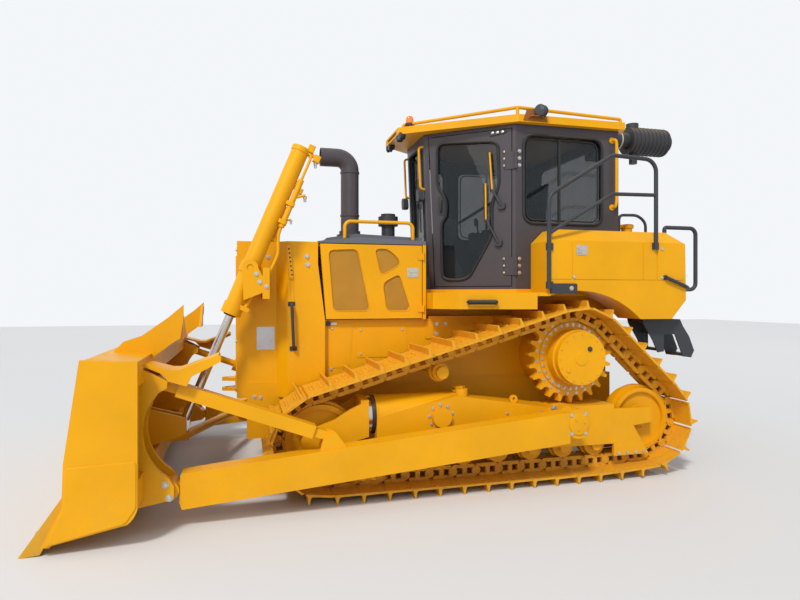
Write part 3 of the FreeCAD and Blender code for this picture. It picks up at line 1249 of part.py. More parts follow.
def blade(label):
    """Curved moldboard with end plates, rear beams, webs and lugs."""
    body = new_body(label)
    inside = "blade_half - end_plate"
    # Moldboard: hollow front face with an even thickness
    top, foot = "blade_top_reach - 22", "blade_low_reach - 40"
    pad(body, SIDE, [(top, "blade_top"),
                     (top + " - mold_thick", "blade_top", "-(mold_radius + mold_thick)"),
                     (foot + " - mold_thick", "blade_low_height - 30"),
                     (foot, "blade_low_height - 30", "mold_radius")],
        "-(%s)" % inside, inside)
    end = [("blade_back", "blade_back_low", "-150"), ("blade_heel_reach", "blade_heel_height"),
           ("blade_toe_reach", "blade_toe_height"), ("blade_low_reach", "blade_low_height"),
           ("blade_mid_reach", "blade_mid_height"), ("blade_top_reach", "blade_top"),
           ("blade_back", "blade_back_top")]
    both(pad, body, end, inside, "blade_half")
    # Upper and lower beams along the back
    pad(body, SIDE, [("blade_back", "beam_top_low"), ("blade_top_reach - 60", "beam_top_low"),
                     ("blade_top_reach - 40", "blade_top"), ("blade_back", "blade_back_top")],
        "-(%s)" % inside, inside)
    pad(body, SIDE, [("blade_back", "blade_back_low"), ("blade_heel_reach",
                     "blade_heel_height + 20"), ("blade_low_reach - 12", "blade_heel_height + 60"),
                     ("blade_low_reach - 100", "beam_low_high"), ("blade_back", "beam_low_high")],
        "-(%s)" % inside, inside)
    # Plate that carries the bolt-on edge, from the moldboard's foot down to the toe
    lean = "(blade_toe_reach - blade_low_reach + 46) / (blade_low_height + 40)"
    seat = "blade_toe_reach + 10 - fit_gap - 45 * " + lean
    pad(body, SIDE, [("blade_low_reach - 36 - fit_gap", "blade_low_height + 40"),
                     ("blade_low_reach - 66", "blade_low_height + 40"),
                     (seat + " - 32", "45"), (seat, "45")],
        "-(%s)" % inside, inside)
    # Rear webs that carry the ball joint below and the brace above
    web = [("joint_reach - 30", "joint_height - 46"), ("3500", "joint_height - 93"),
           ("3680", "beam_low_high"), ("3632", "700"), ("3645", "beam_top_low"),
           ("3500", "1120"), ("blade_back", "1091"), ("3275", "1012"), ("3280", "965"),
           ("brace_lug_reach - 13", "brace_lug_height - 51", "web_bow"),
           ("joint_reach + 4", "joint_height + 99"), ("joint_reach - 30", "joint_height + 43")]
    for low in ("web_side_in - web_thick", "web_side_out"):
        both(pad, body, web, low, low + " + web_thick")
    both(pad, body, GUARD, "web_side_out", "web_side_out + web_thick")
    both(pad, body, FLANGE, "web_side_in - web_thick", "web_side_out + web_thick")
    # Lugs for the lift rods
    lug = [("eye_reach - 30", "eye_height - 62"), ("blade_back + 240", "eye_height - 190"),
           ("blade_back + 240", "eye_height + 190"), ("eye_reach - 30", "eye_height + 62")]
    for low in ("lift_side - lug_gap - lug_plate", "lift_side + lug_gap"):
        both(pad, body, lug, low, low + " + lug_plate")
    # Raised corner fins, each with a return towards the middle
    both(pad, body, FIN, "fin_side", "fin_side + fin_thick")
    for sign in ("", "-"):
        pad(body, FRONT, [(sign + "(fin_side + 5)", "fin_high - 25"),
                          (sign + "(fin_side + 5)", "fin_return_low"),
                          (sign + "fin_return_in", "fin_return_low")], "3215", "3237")
    return body


def cutting_edge(label):
    """Bolt-on edge plates: a straight edge and a longer bit at each end."""
    body = new_body(label)
    inside = "blade_half - end_plate"
    edge = [("blade_low_reach - 36", "blade_low_height + 40"),
            ("blade_toe_reach + 10", "0"), ("blade_toe_reach + 46", "0"),
            ("blade_low_reach + 2", "blade_low_height + 40")]
    pad(body, SIDE, edge, "-(%s - 180)" % inside, "%s - 180" % inside)
    bit = [("blade_low_reach - 36", "blade_low_height + 40"), ("blade_toe_reach + 10", "10"),
           ("edge_tip_reach - 12", "0"), ("edge_tip_reach", "0"),
           ("blade_low_reach + 6", "blade_low_height + 60")]
    both(pad, body, bit, "%s - 180" % inside, inside + " - fit_gap")
    return body


def brace(label):
    """Fixed channel brace on the left, from the blade's upper lug to the arm."""
    start = vector("brace_rear_reach", "brace_side", "brace_rear_height")
    end = vector("brace_lug_reach", "brace_side", "brace_lug_height")
    run = end - start
    half, depth = size("brace_half"), size("brace_depth")
    length = run.Length
    start_gap, wall = size("brace_clear"), size("brace_wall")
    bar = Part.makeBox(length - 2 * start_gap, 2 * half, depth,
                       FreeCAD.Vector(start_gap, -half, -depth / 2))
    trough = Part.makeBox(length - 2 * start_gap - 2 * wall, 2 * half - 2 * wall, depth,
                          FreeCAD.Vector(start_gap + wall, -half + wall, -depth / 2 - wall))
    bar = bar.cut(trough)
    parts = [bar]
    eye, eye_half = size("brace_eye_radius"), size("brace_eye_half")
    front_half = size("(web_side_out - web_side_in) / 2 - fit_gap")
    for place, low, half_here in ((0, 0, eye_half),
                                  (length, length - start_gap - 10, front_half)):
        parts.append(Part.makeCylinder(eye, 2 * half_here, FreeCAD.Vector(place, -half_here, 0),
                                       FreeCAD.Vector(0, 1, 0)))
        parts.append(Part.makeBox(start_gap + 10, 2 * eye_half, 60,
                                  FreeCAD.Vector(low, -eye_half, -30)))
    solid = parts[0].fuse(parts[1:]).removeSplitter()
    solid.rotate(FreeCAD.Vector(), FreeCAD.Vector(0, 1, 0), -math.degrees(math.atan2(run.z, run.x)))
    solid.translate(start)
    return shaped(label, solid)


def tilt_cylinder(label):
    """Tilt cylinder on the right, in place of the fixed brace."""
    start = vector("brace_rear_reach", "-brace_side", "brace_rear_height")
    end = vector("brace_lug_reach", "-brace_side", "brace_lug_height")
    along = (end - start).normalize()
    length = (end - start).Length
    clear = size("brace_clear")
    barrel_end = length * size("tilt_share")
    barrel = rod_between(start + along * clear, start + along * barrel_end,
                         size("tilt_barrel_radius"))
    rod = rod_between(start + along * (barrel_end - 30), end - along * 30,
                      size("tilt_rod_radius"))
    parts = [barrel, rod]
    eye, eye_half = size("brace_eye_radius"), size("brace_eye_half")
    front_half = size("(web_side_out - web_side_in) / 2 - fit_gap")
    for place, half_here in ((start, eye_half), (end, front_half)):
        parts.append(Part.makeCylinder(eye, 2 * half_here,
                                       place - FreeCAD.Vector(0, half_here, 0),
                                       FreeCAD.Vector(0, 1, 0)))
    neck = rod_between(start, start + along * (clear + 10), eye_half - 2)
    return shaped(label, parts[0].fuse(parts[1:] + [neck]).removeSplitter())


def stabiliser_link(label):
    """Diagonal link that keeps the blade square across the arms."""
    start = vector("link_left_reach", "link_left_side", "link_left_height")
    end = vector("link_right_reach", "-arm_inner", "link_right_height")
    end.y += size("fit_gap + link_lug")
    bar = rod_between(start, end, size("link_radius"))
    lug = Part.makeBox(size("blade_back - link_left_reach + 29.7"), 50, 110,
                       start + FreeCAD.Vector(-30, -25, -40))
    pad_block = Part.makeBox(120, size("link_lug"), 110,
                             end + FreeCAD.Vector(-60, -size("link_lug"), -55))
    return shaped(label, bar.fuse([lug, pad_block]).removeSplitter())


# Lift cylinders lie on the line from the trunnion to the rod's eye
def lift_line(side):
    start = vector("trunnion_reach", side, "trunnion_height")
    end = vector("eye_reach", side, "eye_height")
    return start, end, (end - start).normalize()


def lift_barrel(label):
    start, _, along = lift_line("lift_side")
    top = start - along * size("barrel_up")
    mouth = start + along * size("barrel_down")
    tube_solid = rod_between(top, mouth, size("barrel_radius"))
    gland = rod_between(mouth - along * 90, mouth, size("gland_radius"))
    ring = rod_between(start - along * 45, start + along * 45, size("gland_radius"))
    pins = Part.makeCylinder(size("trunnion_radius"), size("2 * yoke_gap + 40"),
                             start - FreeCAD.Vector(0, size("yoke_gap + 20"), 0),
                             FreeCAD.Vector(0, 1, 0))
    bore = rod_between(top + along * 30, mouth - along * 60, size("barrel_bore"))
    rod_hole = rod_between(mouth - along * 100, mouth + along * 5, size("rod_radius + 0.6"))
    solid = tube_solid.fuse([gland, ring, pins]).cut(bore).cut(rod_hole)
    return shaped(label, solid.removeSplitter())


def lift_rod(label):
    _, end, along = lift_line("lift_side")
    half = size("rod_eye_half")
    rod = rod_between(end - along * size("rod_length"), end, size("rod_radius"))
    piston = rod_between(end - along * size("rod_length"),
                         end - along * (size("rod_length") - 70), size("barrel_bore - 0.6"))
    eye = Part.makeCylinder(size("rod_eye_radius"), 2 * half, end - FreeCAD.Vector(0, half, 0),
                            FreeCAD.Vector(0, 1, 0))
    hole = Part.makeCylinder(size("rod_eye_bore"), 2 * half + 10,
                             end - FreeCAD.Vector(0, half + 5, 0), FreeCAD.Vector(0, 1, 0))
    return shaped(label, rod.fuse([piston, eye]).cut(hole).removeSplitter())


PAIRS = (
    ("track", track), ("track_frame", track_frame), ("engine_door", engine_door),
    ("cab_door", cab_door), ("cab_door_glass", door_glass), ("fender_box", fender),
    ("push_arm", push_arm), ("lift_barrel", lift_barrel), ("lift_rod", lift_rod),
)
# Name, pieces on both sides, pieces in the middle
GROUPS = (
    ("idlers", (idlers,), ()), ("rollers", (rollers,), ()),
    ("idler_forks", (idler_fork,), ()), ("sprockets", (sprocket,), ()),
    ("final_drives", (final_drive,), ()), ("cylinder_yokes", (yoke,), ()),
    ("rear_steps", (rear_step,), ()), ("guard_rails", (tank_rail, grab_rail), ()),
    ("roof_rails", (roof_rail,), ()), ("cab_glass", (), (cab_glass, windshield)),
    ("blade_braces", (), (brace, stabiliser_link, tilt_cylinder)),
)
SINGLES = (
    ("main_frame", main_frame), ("rear_housing", rear_housing), ("engine", engine),
    ("radiator_guard", radiator_guard), ("grille", grille), ("hood", hood),
    ("exhaust_stack", exhaust), ("precleaner", precleaner), ("cab_shell", cab_shell),
    ("roof", roof), ("cab_platform", cab_floor_frame), ("fuel_tank", fuel_tank),
    ("rear_filter", rear_filter), ("blade", blade), ("cutting_edge", cutting_edge),
    ("hood_rail", hood_rail), ("operator_seat", operator_seat), ("console", console),
)
for name, build in PAIRS:
    pair(name, build)
for name, sided, central in GROUPS:
    group(name, sided, central)
for name, build in SINGLES:
    SUBPARTS.append(build(name))
doc.recompute()

# Nothing is written unless every object is sound
faults = []
for item in doc.Objects:
    owners = [parent.Label for parent in item.InList]
    if "Invalid" in item.State or "Error" in item.State:
        faults.append("%s in %s: %s" % (item.Name, owners, item.getStatusString()))
    elif item.TypeId == "PartDesign::Pocket" and item.BaseFeature:
        before = item.BaseFeature.Shape
        if not before.isNull() and item.Shape.Volume > before.Volume - 1:
            faults.append("%s in %s removes nothing" % (item.Name, owners))
for item in SUBPARTS:
    if item.Shape.isNull() or not item.Shape.isValid():
        faults.append("%s has no sound shape" % item.Label)
if faults:
    raise RuntimeError("; ".join(faults))
for item in SUBPARTS:
    item.Shape.exportStep("parts/%s.step" % item.Label)
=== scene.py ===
import math
import random

import bmesh
import bpy
from mathutils import Matrix, Vector
from mathutils.bvhtree import BVHTree


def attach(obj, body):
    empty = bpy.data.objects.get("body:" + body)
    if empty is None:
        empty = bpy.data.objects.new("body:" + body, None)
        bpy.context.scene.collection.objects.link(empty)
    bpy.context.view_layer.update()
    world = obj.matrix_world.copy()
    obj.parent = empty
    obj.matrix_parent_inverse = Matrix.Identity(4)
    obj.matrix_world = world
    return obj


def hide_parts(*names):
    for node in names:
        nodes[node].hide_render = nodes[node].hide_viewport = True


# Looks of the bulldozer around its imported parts. Metres, +X forward, +Y left, +Z up.
# Lengths along X in this file count from the sprocket centre, like the part's own sizes.

SHIFT = -1.3115
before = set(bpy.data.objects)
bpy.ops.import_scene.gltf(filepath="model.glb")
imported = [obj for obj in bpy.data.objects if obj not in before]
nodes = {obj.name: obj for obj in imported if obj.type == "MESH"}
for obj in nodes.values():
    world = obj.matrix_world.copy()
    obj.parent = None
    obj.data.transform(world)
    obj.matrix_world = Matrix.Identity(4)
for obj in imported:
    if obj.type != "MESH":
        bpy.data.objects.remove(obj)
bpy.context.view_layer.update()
random.seed(7)


def at(x, y, z):
    """A point counted from the sprocket centre, in the row frame."""
    return Vector((x + SHIFT, y, z))


# Materials

YELLOW = (0.80, 0.37, 0.001)
YELLOW_DUSTY = (0.62, 0.36, 0.10)
CAB_GREY = (0.072, 0.063, 0.070)
HOOD_GREY = (0.125, 0.130, 0.155)
DUST = (0.42, 0.26, 0.06)


class Nodes:
    """Short calls for building one material's node tree."""

    def __init__(self, name):
        self.material = bpy.data.materials.new(name)
        self.material.use_nodes = True
        self.tree = self.material.node_tree
        self.tree.nodes.clear()
        self.output = self.add("ShaderNodeOutputMaterial")
        self.shader = self.add("ShaderNodeBsdfPrincipled")
        self.link(self.shader.outputs["BSDF"], self.output.inputs["Surface"])
        self.place = self.add("ShaderNodeTexCoord").outputs["Object"]

    def add(self, kind, **settings):
        node = self.tree.nodes.new(kind)
        for key, value in settings.items():
            setattr(node, key, value)
        return node

    def link(self, source, target):
        self.tree.links.new(source, target)

    def set(self, **values):
        """Constant values on the shader's own sockets, underscores for spaces."""
        for key, value in values.items():
            self.shader.inputs[key.replace("_", " ")].default_value = value

    def noise(self, scale, detail=4.0, stretch=None, roughness=0.55):
        node = self.add("ShaderNodeTexNoise")
        node.inputs["Scale"].default_value = scale
        node.inputs["Detail"].default_value = detail
        node.inputs["Roughness"].default_value = roughness
        source = self.place
        if stretch:
            mapping = self.add("ShaderNodeMapping")
            mapping.inputs["Scale"].default_value = stretch
            self.link(source, mapping.inputs["Vector"])
            source = mapping.outputs["Vector"]
        self.link(source, node.inputs["Vector"])
        return node.outputs["Fac"]

    def ramp(self, source, low, high, start=0.0, end=1.0):
        node = self.add("ShaderNodeMapRange")
        node.clamp = True
        node.inputs["From Min"].default_value = low
        node.inputs["From Max"].default_value = high
        node.inputs["To Min"].default_value = start
        node.inputs["To Max"].default_value = end
        self.link(source, node.inputs["Value"])
        return node.outputs["Result"]

    def math(self, operation, first, second):
        node = self.add("ShaderNodeMath", operation=operation)
        for index, value in enumerate((first, second)):
            if isinstance(value, (int, float)):
                node.inputs[index].default_value = value
            else:
                self.link(value, node.inputs[index])
        return node.outputs[0]

    def mix(self, factor, first, second):
        """Colour between two, each a colour or a socket."""
        node = self.add("ShaderNodeMix", data_type="RGBA")
        self.link(factor, node.inputs["Factor"])
        pairs = ((node.inputs[6], first), (node.inputs[7], second))
        for socket, value in pairs:
            if isinstance(value, tuple):
                socket.default_value = (*value, 1.0)
            else:
                self.link(value, socket)
        return node.outputs[2]

    def bump(self, height, strength, distance=0.002):
        node = self.add("ShaderNodeBump")
        node.inputs["Strength"].default_value = strength
        node.inputs["Distance"].default_value = distance
        self.link(height, node.inputs["Height"])
        self.link(node.outputs["Normal"], self.shader.inputs["Normal"])

    def height(self):
        split = self.add("ShaderNodeSeparateXYZ")
        self.link(self.place, split.inputs[0])
        return split.outputs["Z"]

    def upward(self):
        """How far a surface faces up, from 0 to 1."""
        geometry = self.add("ShaderNodeNewGeometry")
        split = self.add("ShaderNodeSeparateXYZ")
        self.link(geometry.outputs["Normal"], split.inputs[0])
        return self.ramp(split.outputs["Z"], 0.35, 0.95)


def paint(name, colour, rough=0.42, dust=0.12, low_dust=0.22, speckle=0.25, above=None):
    """Sprayed paint: fine orange peel, faint mottling, and dust on upward and low faces."""
    m = Nodes(name)
    broad = m.noise(1.7, 5.0)
    fine = m.noise(34.0, 3.0)
    shade = tuple(channel * 0.86 for channel in colour)
    base = m.mix(m.ramp(broad, 0.35, 0.7), colour, shade)
    patches = m.ramp(m.noise(5.5, 8.0, roughness=0.7), 0.42, 0.72)
    up = m.math("MULTIPLY", m.upward(), dust)
    low = m.ramp(m.height(), 0.75, 0.05, 0.0, low_dust)
    amount = m.math("MULTIPLY", m.math("ADD", up, low), patches)
    grains = m.math("MULTIPLY", m.ramp(fine, 0.55, 0.75), 0.12 * speckle)
    amount = m.math("MINIMUM", m.math("ADD", amount, grains), 0.85)
    if above:
        edge, other = above
        base = m.mix(m.ramp(m.height(), edge - 0.001, edge + 0.001), base, other)
    m.link(m.mix(amount, base, DUST), m.shader.inputs["Base Color"])
    gloss = m.ramp(m.noise(9.0, 4.0), 0.3, 0.7, rough - 0.06, rough + 0.08)
    m.link(m.math("ADD", gloss, m.math("MULTIPLY", amount, 0.35)), m.shader.inputs["Roughness"])
    m.set(Specular_IOR_Level=0.22, Coat_Weight=0.05, Coat_Roughness=0.2)
    m.bump(m.noise(260.0, 2.0), 0.10, 0.0006)
    return m.material


def perforated(name, colour):
    """Sheet with rows of small round holes, eight millimetres apart; the holes are filled with a dark brown painted
    shade in place of the shaded space behind the sheet.
    """
    m = Nodes(name)
    split = m.add("ShaderNodeSeparateXYZ")
    m.link(m.place, split.inputs[0])
    flat = m.add("ShaderNodeCombineXYZ")
    m.link(split.outputs["X"], flat.inputs["X"])
    m.link(split.outputs["Z"], flat.inputs["Y"])
    holes = m.add("ShaderNodeTexVoronoi", voronoi_dimensions="2D")
    holes.inputs["Scale"].default_value = 125.0
    holes.inputs["Randomness"].default_value = 0.0
    m.link(flat.outputs[0], holes.inputs["Vector"])
    solid = m.ramp(holes.outputs["Distance"], 0.34, 0.40)
    tone = m.mix(m.ramp(m.noise(6.0), 0.3, 0.7), colour, tuple(c * 0.85 for c in colour))
    # Painted shade: the holes get a dark brown colour that stands for the shaded space seen through them.
    m.link(m.mix(solid, (0.14, 0.06, 0.006), tone), m.shader.inputs["Base Color"])
    m.link(m.ramp(solid, 0.0, 1.0, 0.8, 0.45), m.shader.inputs["Roughness"])
    m.bump(solid, 0.4, 0.0008)
    return m.material


def worn_steel(name, colour, rust, rough=0.5, amount=0.5):
    """Bare or rubbed steel with rust and soil in patches."""
    m = Nodes(name)
    patches = m.ramp(m.noise(9.0, 8.0, roughness=0.7), 0.45, 0.66, 0.0, amount)
    streaks = m.noise(30.0, 3.0, stretch=(1.0, 1.0, 6.0))
    base = m.mix(m.ramp(streaks, 0.3, 0.7), colour, tuple(c * 0.86 for c in colour))
    m.link(m.mix(patches, base, rust), m.shader.inputs["Base Color"])
    m.link(m.ramp(patches, 0.0, 0.6, rough, 0.85), m.shader.inputs["Roughness"])
    m.set(Metallic=0.85)
    m.bump(m.noise(120.0, 5.0), 0.25, 0.001)
    return m.material


def track_paint(name, wear=1.0):
    """Yellow paint on the chain, rubbed to steel and soiled with sandy earth."""
    m = Nodes(name)
    soil = m.ramp(m.noise(7.0, 9.0, roughness=0.75), 0.38, 0.62)
    rub = m.ramp(m.noise(22.0, 6.0), 0.52, 0.68)
    low = m.ramp(m.height(), 0.5, 0.0, 0.12 * wear, 0.6 * wear)
    colour = m.mix(m.math("MULTIPLY", rub, 0.45 * wear), (0.74, 0.345, 0.003), (0.27, 0.13, 0.025))
    colour = m.mix(m.math("MULTIPLY", soil, low), colour, (0.34, 0.21, 0.06))
    m.link(colour, m.shader.inputs["Base Color"])
    m.link(m.ramp(soil, 0.0, 1.0, 0.5, 0.85), m.shader.inputs["Roughness"])
    m.set(Metallic=0.1)
    m.bump(m.noise(90.0, 6.0), 0.35, 0.0015)
    return m.material


def plain_plastic(name, colour, rough=0.55, grain=420.0, strength=0.2):
    m = Nodes(name)
    tone = m.mix(m.ramp(m.noise(3.0, 3.0), 0.3, 0.7), colour, tuple(c * 1.35 for c in colour))
    dusty = m.math("MULTIPLY", m.upward(), 0.25)
    m.link(m.mix(dusty, tone, DUST), m.shader.inputs["Base Color"])
    m.link(m.ramp(m.noise(14.0), 0.3, 0.7, rough - 0.08, rough + 0.08),
           m.shader.inputs["Roughness"])
    m.bump(m.noise(grain, 3.0), strength, 0.0008)
    return m.material


def chrome(name):
    m = Nodes(name)
    film = m.ramp(m.noise(12.0, 3.0), 0.4, 0.8, 0.0, 0.12)
    m.link(m.mix(film, (0.56, 0.54, 0.52), (0.34, 0.28, 0.20)), m.shader.inputs["Base Color"])
    m.link(m.ramp(m.noise(9.0), 0.3, 0.7, 0.16, 0.24), m.shader.inputs["Roughness"])
    m.set(Metallic=1.0)
    m.bump(m.noise(300.0, 2.0, stretch=(1.0, 1.0, 0.1)), 0.02, 0.0002)
    return m.material


def glass(name, tint=(0.55, 0.62, 0.60), alpha=0.34):
    """Lightly tinted safety glass that stays see-through from any side."""
    m = Nodes(name)
    smear = m.ramp(m.noise(2.2, 5.0), 0.45, 0.8, 0.015, 0.04)
    m.link(m.mix(m.ramp(m.noise(3.0), 0.4, 0.8), tint, tuple(c * 1.3 for c in tint)),
           m.shader.inputs["Base Color"])
    m.link(smear, m.shader.inputs["Roughness"])
    m.set(Alpha=alpha, IOR=1.5, Specular_IOR_Level=0.5)
    m.material.surface_render_method = "BLENDED"
    return m.material


def cloth(name, colour):
    m = Nodes(name)
    weave = m.add("ShaderNodeTexChecker")
    weave.inputs["Scale"].default_value = 900.0
    m.link(m.place, weave.inputs["Vector"])
    tone = m.mix(m.ramp(m.noise(12.0, 6.0), 0.3, 0.7), colour, tuple(c * 1.5 for c in colour))
    m.link(tone, m.shader.inputs["Base Color"])
    m.link(m.ramp(m.noise(50.0), 0.3, 0.7, 0.75, 0.95), m.shader.inputs["Roughness"])
    m.set(Sheen_Weight=0.25)
    m.bump(weave.outputs["Fac"], 0.2, 0.0006)
    return m.material


MATERIALS = {
    "yellow": paint("yellow_paint", YELLOW),
    "hood_yellow": paint("hood_paint", YELLOW, rough=0.36, above=(2.031, HOOD_GREY)),
    "perforated": perforated("perforated_sheet", (0.66, 0.31, 0.008)),
    "plate": worn_steel("blank_plate", (0.52, 0.53, 0.54), (0.40, 0.38, 0.34), 0.4, 0.2),
    "grey": paint("cab_grey_paint", CAB_GREY, rough=0.38, dust=0.12, low_dust=0.0),
    "dark": paint("dark_grey_paint", (0.045, 0.048, 0.056), rough=0.45, dust=0.2),
    "track": track_paint("track_paint_worn"),
    "shoe": track_paint("shoe_paint", 0.6),
    "edge": paint("edge_paint", (0.70, 0.35, 0.012), rough=0.5, dust=0.4, low_dust=0.6),
    "steel": worn_steel("worn_steel", (0.42, 0.40, 0.37), (0.16, 0.09, 0.05)),
    "zinc": worn_steel("zinc_bolts", (0.62, 0.60, 0.55), (0.30, 0.24, 0.14), 0.35, 0.3),
    "chrome": chrome("chrome_rod"),
    "glass": glass("cab_glass", (0.010, 0.016, 0.020), 0.48),
    "lens": glass("lamp_lens", (0.06, 0.065, 0.07), 0.88),
    "amber": glass("beacon_amber", (0.90, 0.22, 0.02), 0.92),
    # Painted shade: a dark brown copy of the yellow paint, for roof lamp brackets that are yellow steel lying in
    # shadow.
    "roof_bracket_shaded_yellow": paint("bracket_painted_shade", (0.30, 0.105, 0.02), rough=0.5, dust=0.3),
    "rubber": plain_plastic("rubber_black", (0.012, 0.012, 0.013), 0.7, 300.0, 0.3),
    "plastic": plain_plastic("plastic_black", (0.022, 0.022, 0.025)),
    "interior": plain_plastic("interior_grey", (0.10, 0.10, 0.105), 0.6),
    "seat": cloth("seat_cloth", (0.028, 0.029, 0.034)),
    "engine": paint("engine_paint", (0.05, 0.05, 0.055), rough=0.5),
}

NODE_LOOKS = {
    "yellow": ("radiator_guard", "fender_box_left", "fender_box_right", "fuel_tank",
               "track_frame_left", "track_frame_right", "idler_forks", "idlers", "rollers",
               "sprockets", "final_drives", "push_arm_left", "push_arm_right", "blade",
               "blade_braces", "lift_barrel_left", "lift_barrel_right", "cylinder_yokes",
               "main_frame", "rear_housing", "cab_platform", "roof", "roof_rails",
               "hood_rail"),
    "hood_yellow": ("hood", "engine_door_left", "engine_door_right"),
    "grey": ("cab_shell", "cab_door_left", "cab_door_right", "exhaust_stack"),
    "dark": ("guard_rails", "rear_steps", "grille"),
    "track": ("track_left", "track_right"),
    "edge": ("cutting_edge",),
    "chrome": ("lift_rod_left", "lift_rod_right"),
    "glass": ("cab_glass", "cab_door_glass_left", "cab_door_glass_right"),
    "plastic": ("precleaner", "rear_filter"),
    "interior": ("console",),
    "seat": ("operator_seat",),
    "engine": ("engine",),
}
for look, names in NODE_LOOKS.items():
    for name in names:
        mesh = nodes[name].data
        mesh.materials.clear()
        mesh.materials.append(MATERIALS[look])


# Shapes for added pieces

def side_view(y):
    """Outline points are (x, z), and thickness goes out to the left from y."""
    return lambda a, b, c: at(a, y + c, b)


def top_view(z):
    """Outline points are (x, y), and thickness goes up from z."""
    return lambda a, b, c: at(a, b, z + c)


def front_view(x):
    """Outline points are (y, z), and thickness goes forward from x."""
    return lambda a, b, c: at(x + c, a, b)


def sloped(origin, along, rise):
    """Outline points go along two directions that are square to each other."""
    start, along, rise = at(*origin), Vector(along).normalized(), Vector(rise).normalized()
    normal = along.cross(rise)
    return lambda a, b, c: start + along * a + rise * b + normal * c


def turned(centre, axis):
    """Outline points lie across an axis, and thickness goes along it."""
    axis = Vector(axis).normalized()
    across = axis.orthogonal().normalized()
    other = axis.cross(across)
    start = at(*centre)
    return lambda a, b, c: start + across * a + other * b + axis * c


def circle(radius, steps=24, centre=(0.0, 0.0), start=0.0):
    turns = [start + 2 * math.pi * step / steps for step in range(steps)]
    return [(centre[0] + radius * math.cos(t), centre[1] + radius * math.sin(t)) for t in turns]


def softened(corners, radius, steps=4):
    """A closed outline with its corners rounded."""
    points = []
    for index, corner in enumerate(corners):
        here = Vector(corner)
        sides = [Vector(corners[index - 1]) - here, Vector(corners[(index + 1) % len(corners)]) - here]
        reach = [min(radius, side.length * 0.48) for side in sides]
        first, last = (here + side.normalized() * far for side, far in zip(sides, reach))
        for step in range(steps + 1):
            t = step / steps
            points.append(tuple(first * (1 - t) ** 2 + here * 2 * t * (1 - t) + last * t * t))
    return points


def rectangle(x0, z0, x1, z1, radius=0.0):
    corners = [(x0, z0), (x1, z0), (x1, z1), (x0, z1)]
    return softened(corners, radius) if radius else corners


class Piece:
    """A mesh that shapes are added to, and that ends as one named piece."""

    def __init__(self, name, look, body="chassis", side=1):
        self.name, self.look, self.body, self.side = name, look, body, side
        self.mesh = bmesh.new()

    def loop(self, points):
        return [self.mesh.verts.new(point) for point in points]

    def bridge(self, first, second):
        count = len(first)
        return [self.mesh.faces.new((first[i], first[(i + 1) % count], second[(i + 1) % count], second[i]))
                for i in range(count)]

    def slab(self, place, outline, low, high, bevel=0.0):
        """An outline with a thickness, its edges broken by a small bevel."""
        loops = [self.loop([place(a, b, c) for a, b in outline]) for c in (low, high)]
        faces = self.bridge(*loops) + [self.mesh.faces.new(loop) for loop in loops]
        if bevel:
            rims = [e for face in faces[-2:] for e in face.edges]
            bmesh.ops.bevel(self.mesh, geom=rims, offset=bevel, segments=2, affect="EDGES",
                            clamp_overlap=True)

    def spin(self, place, profile, steps=24, closed=False):
        """Turns a profile of (radius, height) about the place's axis."""
        loops = [self.loop([place(a, b, height) for a, b in circle(radius, steps)])
                 for radius, height in profile]
        for first, second in zip(loops, loops[1:]):
            self.bridge(first, second)
        if closed:
            self.bridge(loops[-1], loops[0])
        else:
            self.mesh.faces.new(loops[0])
            self.mesh.faces.new(loops[-1])

    def rod(self, points, radius, bend=0.0, closed=False, sides=10, flat=1.0):
        """A round bar along points, with its corners bent to a radius."""
        points = [Vector(point) for point in points]
        if bend:
            smooth = [points[0]]
            for before, here, after in zip(points, points[1:], points[2:]):
                near = [(other - here).normalized() * min(bend, (other - here).length * 0.48)
                        for other in (before, after)]
                for step in range(6):
                    t = step / 5
                    smooth.append((here + near[0]) * (1 - t) ** 2 + here * 2 * t * (1 - t)
                                  + (here + near[1]) * t * t)
            points = smooth + [points[-1]]
        count, loops, across = len(points), [], None
        for index, here in enumerate(points):
            before = points[index - 1] if index or closed else here
            after = points[(index + 1) % count] if index < count - 1 or closed else here
            ahead = (after - before).normalized()
            across = (across or ahead.orthogonal())
            across = (across - ahead * across.dot(ahead)).normalized()
            other = ahead.cross(across)
            loops.append(self.loop([here + across * a + other * b * flat for a, b in circle(radius, sides)]))
        for first, second in zip(loops, loops[1:]):
            self.bridge(first, second)
        if closed:
            self.bridge(loops[-1], loops[0])
        else:
            self.mesh.faces.new(loops[0])
            self.mesh.faces.new(loops[-1])

    def bolt(self, centre, axis, radius, washer=1.35):
        """A hexagon bolt head on its washer."""
        place = turned(centre, axis)
        self.spin(place, [(radius * washer, 0.0), (radius * washer, radius * 0.22)], 14)
        self.spin(place, [(radius, radius * 0.2), (radius, radius * 0.75), (radius * 0.84, radius * 0.9)], 6)

    def bolt_ring(self, centre, axis, ring, count, radius, start=0.0):
        place = turned(centre, axis)
        for a, b in circle(ring, count, start=start):
            spot = place(a, b, 0.0)
            self.bolt((spot.x - SHIFT, spot.y, spot.z), axis, radius)

    def done(self, slot=None, sharp=32.0):
        if self.side < 0:
            bmesh.ops.scale(self.mesh, vec=(1, -1, 1), verts=self.mesh.verts)
        bmesh.ops.recalc_face_normals(self.mesh, faces=self.mesh.faces)
        data = bpy.data.meshes.new(self.name)
        self.mesh.to_mesh(data)
        self.mesh.free()
        data.shade_smooth()
        data.set_sharp_from_angle(angle=math.radians(sharp))
        data.materials.append(MATERIALS[self.look])
        piece = bpy.data.objects.new(self.name, data)
        bpy.context.scene.collection.objects.link(piece)
        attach(piece, self.body)
        return piece


SIDES = (("left", 1), ("right", -1))


# Tracks

PITCH = 0.2032
LOOP_CIRCLES = (
    # x, z, radius of the pin line, clockwise seen from the left
    (2.205, 0.455, 0.330), (-0.203, 0.280, 0.155), (-0.670, 0.480, 0.330), (0.0, 1.049, 0.376),
)
RAIL_LOW, RAIL_HIGH = -0.055, 0.050
SHOE_HALF, SHOE_PLATE, GROUSER = 0.280, 0.015, 0.060
TRACK_SIDE = 0.940


